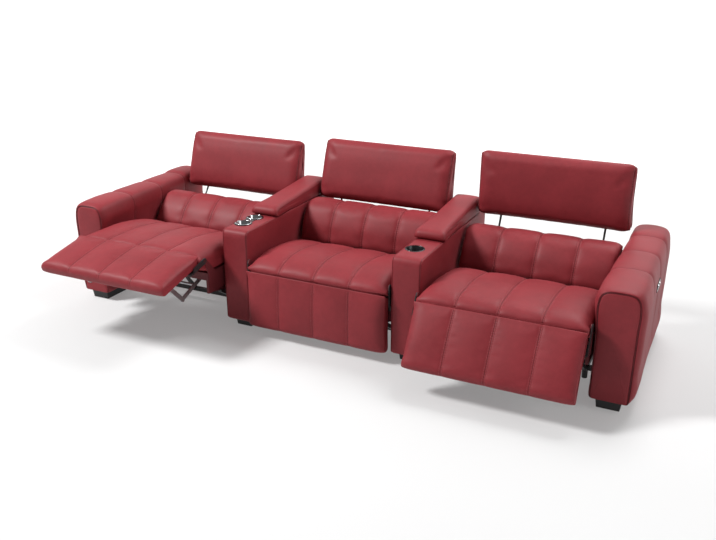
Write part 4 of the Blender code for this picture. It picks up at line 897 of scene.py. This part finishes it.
def arm_stations():
    """Each ring: its y, share of the arm's outline against the board's, inset and groove, which
    darkens the turn-in as painted shade.
    """
    front = [(0.0165, 0.0, 0.0, 1.0), (0.0090, 0.0, 0.0, 1.0), (0.0052, 0.03, 0.0, 1.0)]
    for degrees in (12, 24, 38, 52, 66, 80):
        angle = math.radians(degrees)
        y = ROLL_START + ROLL_DEPTH * (1 - math.cos(angle))
        front.append((y, math.sin(angle), 0.0, 0.9 - degrees / 20))
    marks = seam_marks(ARM_SEAMS, SEAM_OFFSETS[:7]) | {0.046, ARM_DEPTH - REAR_ROUND}
    body = [(y, 1.0, 0.0, 0.0) for y in ruled(sorted(marks))]
    rear = []
    for degrees in (90, 72, 54, 36, 18, 4):
        angle = math.radians(degrees)
        y = ARM_DEPTH - REAR_ROUND * (1 - math.cos(angle))
        rear.append((y, 1.0, REAR_INSET * (1 - math.sin(angle)), 0.0))
    return front + body + rear + [(ARM_DEPTH - 0.0005, 1.0, 0.052, 0.0)]


def ring_across(flat, y, sign):
    return np.column_stack([sign * flat[:, 0], np.full(len(flat), y), flat[:, 1]])


def arm_mesh(sign):
    rings, near, steps = [], [], []
    border, _ = panel_loop(PANEL_INSET - 0.0050)
    for y, share, inset, groove in arm_stations():
        closest = min((y - s for s in ARM_SEAMS), key=abs)
        loop, step = arm_loop(*arm_shape(y))
        loop = border + (loop - border) * share
        up = np.clip((loop[:, 1] - 0.10) / 0.2, 0.0, 1.0)
        short = inward(loop, step, 0.010)
        broad = inward(loop, step, 1.5 * max(inset, 0.004))
        sink = ARM_SEAM_DEPTH * seam_sink(closest) * up
        flat = loop + broad * inset + short * sink[:, None]
        rings.append(ring_across(flat, y, sign))
        near.append(np.maximum(seam_closeness(closest) * up, max(groove, 0.0)))
        steps.append(step)
    return leather_mesh(rings, near, steps)


def arm_seam_rows(sign):
    rows = []
    for y in [seam + side for seam in ARM_SEAMS for side in (-STITCH_OFFSET, STITCH_OFFSET)]:
        loop, _ = arm_loop(*arm_shape(y))
        rows.append(ring_across(loop[loop[:, 1] > STITCH_FOOT], y, sign))
    return rows


print("arm stations", len(arm_stations()))

# %% The front board and its welt
WELT_DEPTH = 0.0064
WELT_RADIUS = 0.0021
# Each row: the place along the arm, how far the outline is drawn in and the groove's share, which
# darkens it as painted shade and puckers it.
BOARD_STATIONS = ((0.0165, 0.0, 1.0), (0.0085, 0.0, 1.0), (0.0052, 0.0010, 0.9),
                  (0.0034, 0.0036, 0.35), (0.0021, 0.0085, 0.0), (0.0010, 0.017, 0.0),
                  (0.0003, 0.029, 0.0), (0.0, 0.044, 0.0))


def front_board(sign):
    rings, near = [], []
    loop, step = panel_loop(PANEL_INSET)
    for y, inset, close in BOARD_STATIONS:
        down = np.clip((loop[:, 1] - FOOT_HEIGHT) / 0.05, 0.12, 1.0)
        flat = loop + inward(loop, step, 1.5 * inset + 0.004) * (inset * down)[:, None]
        rings.append(ring_across(flat, y, sign))
        near.append(close * down)
    return leather_mesh(rings, near, step)


def cord(name, path, radius, finish, sides=8):
    """A round cord along a path of points."""
    path = np.asarray(path, float)
    ahead = np.roll(path, -1, axis=0) - np.roll(path, 1, axis=0)
    ahead[0], ahead[-1] = path[1] - path[0], path[-1] - path[-2]
    ahead /= np.linalg.norm(ahead, axis=1)[:, None]
    out = path - path.mean(axis=0)
    out -= ahead * np.sum(out * ahead, axis=1)[:, None]
    out /= np.linalg.norm(out, axis=1)[:, None]
    side = np.cross(ahead, out)
    rings = [[row + radius * (math.cos(t) * axis + math.sin(t) * other) for t in circle(sides)]
             for row, axis, other in zip(path, out, side)]
    return show(skin(rings), name, finish)


for side, sign in (("left", -1), ("right", 1)):
    piece = show(arm_mesh(sign), f"arm_cover_{side}", red_leather)
    smoothed(piece)
    sewn = stitches(f"arm_stitches_{side}", surface_of(piece), arm_seam_rows(sign))
    board = show(front_board(sign), f"front_board_{side}", red_leather)
    smoothed(board)
    loop, step = panel_loop(PANEL_INSET - 0.0024)
    first = int(np.argmax(np.linalg.norm(np.roll(loop, 1, axis=0) - loop, axis=1)))
    edge = np.roll(loop, -first, axis=0)
    edge = edge[edge[:, 1] > FOOT_HEIGHT + 0.004]
    course = [(sign * x, WELT_DEPTH, z) for x, z in edge]
    # The welt takes the darkened red: painted shade.
    welt = cord(f"front_welt_{side}", course, WELT_RADIUS, welt_painted_shade)
    for made, nodes in ((piece, [f"arm_{side}"]), (sewn, []),
                        (board, [f"arm_front_panel_{side}"]), (welt, [])):
        on_body(made, Matrix.Translation((0, FRONT, 0)), "root", nodes)
print("arms finished")

# %% [markdown]
# ## The consoles
# A console is a narrow box. One strip of leather runs up its front and over its deck, and a
# flat panel closes each side, with a seam where they meet. Under the padded lid is a lined
# bin. The lid is a wedge that thickens to the rear, so that it lies level with an elbow.

# %% Boxes with seamed edges
CONSOLE_WIDTH = 0.161
DECK_HEIGHT = 0.592
CONSOLE_FRONT = 0.02
CONSOLE_REAR = 1.06
CONSOLE_POINTS = 150


def box_loop():
    low, high = CONSOLE_FRONT, CONSOLE_REAR
    base, deck = FOOT_HEIGHT, DECK_HEIGHT
    points = [(low + 0.006, base), (0.3, base), (0.7, base), (high - 0.006, base),
              (high, base + 0.006), (high, 0.3)]
    points += arc((high - 0.02, deck - 0.02), 0.02, 0, 90, 3) + [(0.7, deck), (0.35, deck)]
    points += arc((low + 0.030, deck - 0.030), 0.030, 90, 180, 6)
    points += [(low, 0.45), (low - 0.0015, 0.3), (low, 0.15), (low, base + 0.006)]
    return rounded_loop(points, CONSOLE_POINTS, 1)


# Each row of a side: how far back from it, how far the outline is drawn in, the seam's share, which
# darkens it as painted shade and puckers it.
EDGE_STATIONS = ((0.0140, 0.0, 0.0), (0.0105, 0.0004, 0.2), (0.0085, 0.0012, 0.6),
                 (0.0074, 0.0032, 1.0), (0.0062, 0.0034, 1.0), (0.0052, 0.0016, 0.6),
                 (0.0036, 0.0018, 0.2), (0.0016, 0.0034, 0.0), (0.0004, 0.0065, 0.0),
                 (-0.0006, 0.014, 0.0), (-0.0014, 0.030, 0.0), (-0.0020, 0.060, 0.0),
                 (-0.0022, 0.072, 0.0))


def both_sides(half, table, middle):
    """Stations across X from one side's table, with plain ones between the two sides."""
    side = [(half - back, inset, close) for back, inset, close in table]
    inner = side[0][0]
    strip = [(-inner + 2 * inner * k / middle, 0.0, 0.0) for k in range(1, middle)]
    return [(-x, inset, close) for x, inset, close in reversed(side)] + strip + side


def crowned(x, half, rise):
    return rise * math.cos(0.5 * math.pi * min(1.0, abs(x) / half))


def seamed_box(loop, step, half, middle, swell=0.0):
    """A box across X: a wrapped strip, a seam near each edge and a padded side."""
    inner = half - EDGE_STATIONS[0][0]
    rings, near = [], []
    for x, inset, close in both_sides(half, EDGE_STATIONS, middle):
        crown = crowned(x, half, swell) if abs(x) < inner else 0.0
        flat = loop[:, :2] + inward(loop, step, 1.6 * inset + 0.004) * (inset - crown)
        rings.append(np.column_stack([np.full(len(flat), x), flat]))
        near.append(np.full(len(flat), close))
    return leather_mesh(rings, near, step)


def cut_holes(piece, tools):
    """Cut wells out of a piece and drop the cutters."""
    for tool in tools:
        hole = piece.modifiers.new("hole", "BOOLEAN")
        hole.operation = "DIFFERENCE"
        hole.solver = "EXACT"
        hole.object = tool
    applied(piece)
    for tool in tools:
        bpy.data.objects.remove(tool, do_unlink=True)


def ring_at(x, y, z, radius, count=48):
    return [(x + radius * math.cos(t), y + radius * math.sin(t), z) for t in circle(count)]


def rectangle(low, high, z, inset=0.0):
    x0, x1 = low[0] + inset, high[0] - inset
    y0, y1 = low[1] + inset, high[1] - inset
    return [(x0, y0, z), (x1, y0, z), (x1, y1, z), (x0, y1, z)]


print("console loop", box_loop()[1])

# %% The consoles, their bins and lids
CUP_OFFSET = -0.026
STEEL_CUPS = (0.153, 0.273)
DARK_OFFSET = -0.018
DARK_CUP = 0.178
BIN_START, BIN_END, BIN_DEPTH, BIN_WALL = 0.36, 0.93, 0.27, 0.018
LINING_GAP, LINING_WALL = 0.0006, 0.0025
CUT_TOP = DECK_HEIGHT + 0.03
LID_FRONT, LID_REAR = 0.327, 0.97
LID_HALF = 0.0795
LID_SPREAD = 0.009
LID_SPREAD_LENGTH = 0.17
LID_CROWN = 0.0035
LID_POINTS = 96


def lid_loop():
    start, end = LID_FRONT, LID_REAR
    low = DECK_HEIGHT + 0.0012
    front, rear = low + 0.047, low + 0.094
    points = [(start + 0.010, low), (0.5, low), (0.75, low), (end - 0.008, low),
              (end, low + 0.006), (end, rear - 0.026), (end - 0.003, rear - 0.011),
              (end - 0.011, rear - 0.003), (end - 0.026, rear), (0.80, rear - 0.011),
              (0.65, rear - 0.0215), (0.50, rear - 0.032), (start + 0.06, front + 0.010),
              (start + 0.032, front + 0.0065), (start + 0.014, front),
              (start + 0.003, front - 0.011), (start - 0.001, front - 0.026),
              (start + 0.002, low + 0.010)]
    return rounded_loop(points, LID_POINTS, 1)


# The same three columns for a side of the lid.
LID_SIDE = ((0.026, 0.0, 0.0), (0.019, 0.0012, 0.0), (0.0125, 0.0036, 0.0), (0.007, 0.0075, 0.0),
            (0.003, 0.0125, 0.3), (0.0018, 0.0145, 0.8), (0.0024, 0.0158, 1.0),
            (0.0012, 0.0172, 0.8), (0.0002, 0.0205, 0.2), (0.0, 0.026, 0.0), (0.0002, 0.033, 0.0))


def lid_mesh():
    loop, step = lid_loop()
    high = np.clip((loop[:, 1] - DECK_HEIGHT - 0.006) / 0.02, 0.0, 1.0)
    rings, near = [], []
    for x, inset, close in both_sides(LID_HALF, LID_SIDE, 6):
        drawn = (inset - crowned(x, LID_HALF, LID_CROWN)) * (0.15 + 0.85 * high)
        flat = loop + inward(loop, step, 1.2 * inset + 0.004) * drawn[:, None]
        ahead = np.clip(1 - (flat[:, 0] - LID_FRONT) / LID_SPREAD_LENGTH, 0, 1)
        rings.append(np.column_stack([x + LID_SPREAD * ahead * x / LID_HALF, flat]))
        near.append(close * high)
    return leather_mesh(rings, near, step)


# Each well: its place across and along, its radius and its depth.
WELLS = {"left": [(CUP_OFFSET, y, 0.0432, 0.079) for y in STEEL_CUPS],
         "right": [(DARK_OFFSET, DARK_CUP, 0.0472, 0.064)]}
for side, sign in (("left", -1), ("right", 1)):
    where = Matrix.Translation((sign * CONSOLE_X, FRONT, 0))
    mesh = seamed_box(*box_loop(), CONSOLE_WIDTH / 2, 8, 0.0012)
    body = show(mesh, f"console_cover_{side}", red_leather)
    tools = []
    for across, y, radius, deep in WELLS[side]:
        rings = [ring_at(across, y, z, radius) for z in (DECK_HEIGHT - deep, CUT_TOP)]
        tools.append(show(skin(rings), "well", red_leather))
    inner, bin_floor = CONSOLE_WIDTH / 2 - BIN_WALL, DECK_HEIGHT - BIN_DEPTH
    low, high = (-inner, BIN_START), (inner, BIN_END)
    bin_box = skin([rectangle(low, high, z) for z in (bin_floor, CUT_TOP)])
    tools.append(show(bin_box, "bin", red_leather))
    cut_holes(body, tools)
    body.data.set_sharp_from_angle(angle=math.radians(55))
    floor_z, rim_z = bin_floor + 0.001, DECK_HEIGHT - 0.004
    course = [(0.0, floor_z), (0.0, rim_z), (LINING_WALL, rim_z),
              (LINING_WALL, floor_z + LINING_WALL)]
    rings = [rectangle(low, high, z, LINING_GAP + inset) for inset, z in course]
    liner = show(skin(rings), f"bin_lining_{side}", lining.material)
    liner.data.set_sharp_from_angle(angle=math.radians(40))
    lid = show(lid_mesh(), f"lid_cover_{side}", red_leather)
    smoothed(lid)
    on_body(body, where, "root", [f"console_{side}"])
    on_body(liner, where, "root")
    on_body(lid, where, f"console_lid_{side}", [f"console_lid_{side}"])
print("consoles finished")

# %% [markdown]
# ## The cup holders
# The left console has a pair of polished steel cups in one dark plate, and the right one a
# single dark cup. They are turned parts: a profile spun round its axis, with a rolled rim
# that rests on the deck. Many sides keep the rims round when they catch the light.

# %% Turned cups and their plate
def cup_profile(radius, rim, depth, rest, lip=0.0025, wall=0.0015):
    low, top = rest - depth, rest + 0.0003
    return [(0.004, low), (radius - 0.006, low), (radius - 0.0012, low + 0.0016),
            (radius, low + 0.007), (radius, top), (rim - 0.0006, top), (rim, top + 0.3 * lip),
            (rim - 0.0005, top + 0.75 * lip), (rim - 0.0016, top + lip),
            (radius - wall + 0.0012, top + lip), (radius - wall, top + 0.5 * lip),
            (radius - wall, low + 0.009), (radius - 0.004, low + 0.0042),
            (radius - 0.009, low + wall), (0.004, low + wall)]


STEEL_CUP = (0.042, 0.0465, 0.075, DECK_HEIGHT + 0.0003 + 0.003)
DARK_CUP_SIZE = (0.046, 0.052, 0.06, DECK_HEIGHT)
# Each cup: its name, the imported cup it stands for, its sizes and its place.
CUPS = (("steel_cup_front", "cup_left_front", STEEL_CUP, CUP_OFFSET - CONSOLE_X, STEEL_CUPS[0]),
        ("steel_cup_rear", "cup_left_rear", STEEL_CUP, CUP_OFFSET - CONSOLE_X, STEEL_CUPS[1]),
        ("dark_cup", "cup_right", DARK_CUP_SIZE, DARK_OFFSET + CONSOLE_X, DARK_CUP))
for name, packed, size, x, y in CUPS:
    mesh = skin([ring_at(x, y + FRONT, z, radius, 56) for radius, z in cup_profile(*size)])
    mesh.set_sharp_from_angle(angle=math.radians(45))
    steel = name.startswith("steel")
    piece = show(mesh, name, polished.material if steel else gloss_plastic)
    on_body(piece, Matrix(), "root", [packed])
print("cups turned")

# %% [markdown]
# ## The backs
# Behind each back cushion stands the reclining shell, a leaning board in the same leather.
# Its back shows from behind the sofa, as one flat panel between two seams.

# %% Covered back shells
SHELL_HALF = 0.404
SHELL_POINTS = 90
POST_X = 0.295
BORE_RADIUS = 0.0068


def shell_loop():
    front, rear, top = -0.0985, 0.0300, -0.0565
    low_front, low_rear = (shell_line(0.262), 0.262), (shell_line(0.262) + 0.122, 0.2545)
    points = [mixed(low_front, low_rear, share) for share in (0.0, 0.5, 0.96)]
    leant = [(rear, -0.30), (rear + 0.001, -0.18), (rear, top - 0.022),
             (rear - 0.005, top - 0.007), (rear - 0.016, top), (-0.04, top),
             (front + 0.012, top), (front, top - 0.010)]
    points += [leaning(*place) for place in leant]
    points += [(shell_line(z) + 0.0012, z) for z in (0.45, 0.35)]
    return rounded_loop(points, SHELL_POINTS, 1)


def post_bore(x):
    """A cutter along one post of the headrest."""
    start, end = (Vector((x, *leaning(0, along))) for along in (-0.33, 0.02))
    across = Vector((1, 0, 0))
    other = (end - start).normalized().cross(across)
    out = [BORE_RADIUS * (math.cos(t) * across + math.sin(t) * other) for t in circle(20)]
    rings = [[tuple(centre + offset) for offset in out] for centre in (start, end)]
    return show(skin(rings), "bore", red_leather)


for side in SEATS:
    mesh = seamed_box(*shell_loop(), SHELL_HALF, 14)
    piece = show(mesh, f"back_shell_cover_{side}", red_leather)
    bores = [post_bore(x) for x in (-POST_X, POST_X)]
    cut_holes(piece, bores)
    on_body(piece, seat_place(side, "backrest"), f"backrest_{side}")
print("back shells covered")

# %% [markdown]
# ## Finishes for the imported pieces
# What has its true shape already keeps it: the slide frames, links, drives, brackets,
# hinges, feet and controls only get their finish.

# %% Finishes by name
BY_NAME = (
    (foot_plastic, ("arm_foot", "console_foot")),
    # The seat frames take the darkened red: painted shade.
    (frame_leather_painted_shade, "seat_frame"),
    (powder.material, ("base_frame", "footrest_board", "headrest_bracket", "lid_hinge")),
    (zinc.material, ("lift_links", "push_links")),
    (black_plastic, "actuator"),
    (gloss_plastic, ("control_panel", "cup_tray")),
    (polished.material, ("open_button", "close_button")),
    (red_leather, "back_shell"),
)
for name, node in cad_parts.items():
    for finish, starts in BY_NAME:
        if name.startswith(starts):
            node.data.materials.clear()
            node.data.materials.append(finish)
print("packed pieces with finishes:", len(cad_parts))

# %% [markdown]
# ## Floor and light
# The sofa stands on a plain pale floor that curves up behind it. A large soft light hangs
# high at the left front, a weaker one fills from the right, and a third, above and behind
# the backs, lays a soft shadow on the floor in front. The floor glows a little by itself,
# more so with distance, and fades out to white.

# %% Floor
white = Finish("pale_floor", (0.50, 0.50, 0.50), 0.9, Emission_Strength=1.0)
white.tint((0.49, 0.49, 0.49), (0.51, 0.51, 0.51), white.cloud(0.8))
distance = white.node("VectorMath", {"operation": "LENGTH"}, {0: white.place()}, 1)
glow = white.mix((0.24, 0.24, 0.24), (0.95, 0.95, 0.95), distance.between(2.4, 5.5))
white.feed("Emission Color", glow)
FLOOR_BACK, FLOOR_RADIUS = 7.0, 3.0
sweep = [(-9.0, 0.0), (-4.0, 0.0), (0.0, 0.0), (4.0, 0.0)]
for a in np.linspace(0.1, math.pi / 2, 10):
    back = FLOOR_BACK - FLOOR_RADIUS + FLOOR_RADIUS * math.sin(a)
    sweep.append((back, FLOOR_RADIUS - FLOOR_RADIUS * math.cos(a)))
sweep.append((FLOOR_BACK, 9.0))
verts = [(x, y, z) for x in (-14.0, 14.0) for y, z in sweep]
count = len(sweep)
faces = [(i, i + 1, count + i + 1, count + i) for i in range(count - 1)]
mesh = bpy.data.meshes.new("floor")
mesh.from_pydata(verts, [], faces)
mesh.shade_smooth()
floor = show(mesh, "floor", white.material)

# %% Lights
def soft_light(name, place, target, size, power):
    lamp = bpy.data.lights.new(name, "AREA")
    lamp.shape = "DISK"
    lamp.size = size
    lamp.energy = power
    light = bpy.data.objects.new(name, lamp)
    bpy.context.scene.collection.objects.link(light)
    light.location = place
    aim = Vector(target) - Vector(place)
    light.rotation_euler = aim.to_track_quat("-Z", "Y").to_euler()


soft_light("key", (-5.1, -3.1, 6.4), (0.0, 0.0, 0.3), 2.0, 850.0)
soft_light("fill", (5.0, -0.5, 2.8), (0.2, 0.0, 0.3), 3.0, 48.0)
soft_light("top", (1.6, 1.9, 4.5), (0.0, 0.0, 0.0), 2.2, 150.0)
world = bpy.data.worlds.new("studio")
world.use_nodes = True
surround = world.node_tree.nodes["Background"].inputs
surround["Color"].default_value = (1.0, 1.0, 1.0, 1.0)
surround["Strength"].default_value = 0.16
bpy.context.scene.world = world
bpy.context.scene.view_settings.view_transform = "Standard"
print("lights", len(bpy.data.lights))
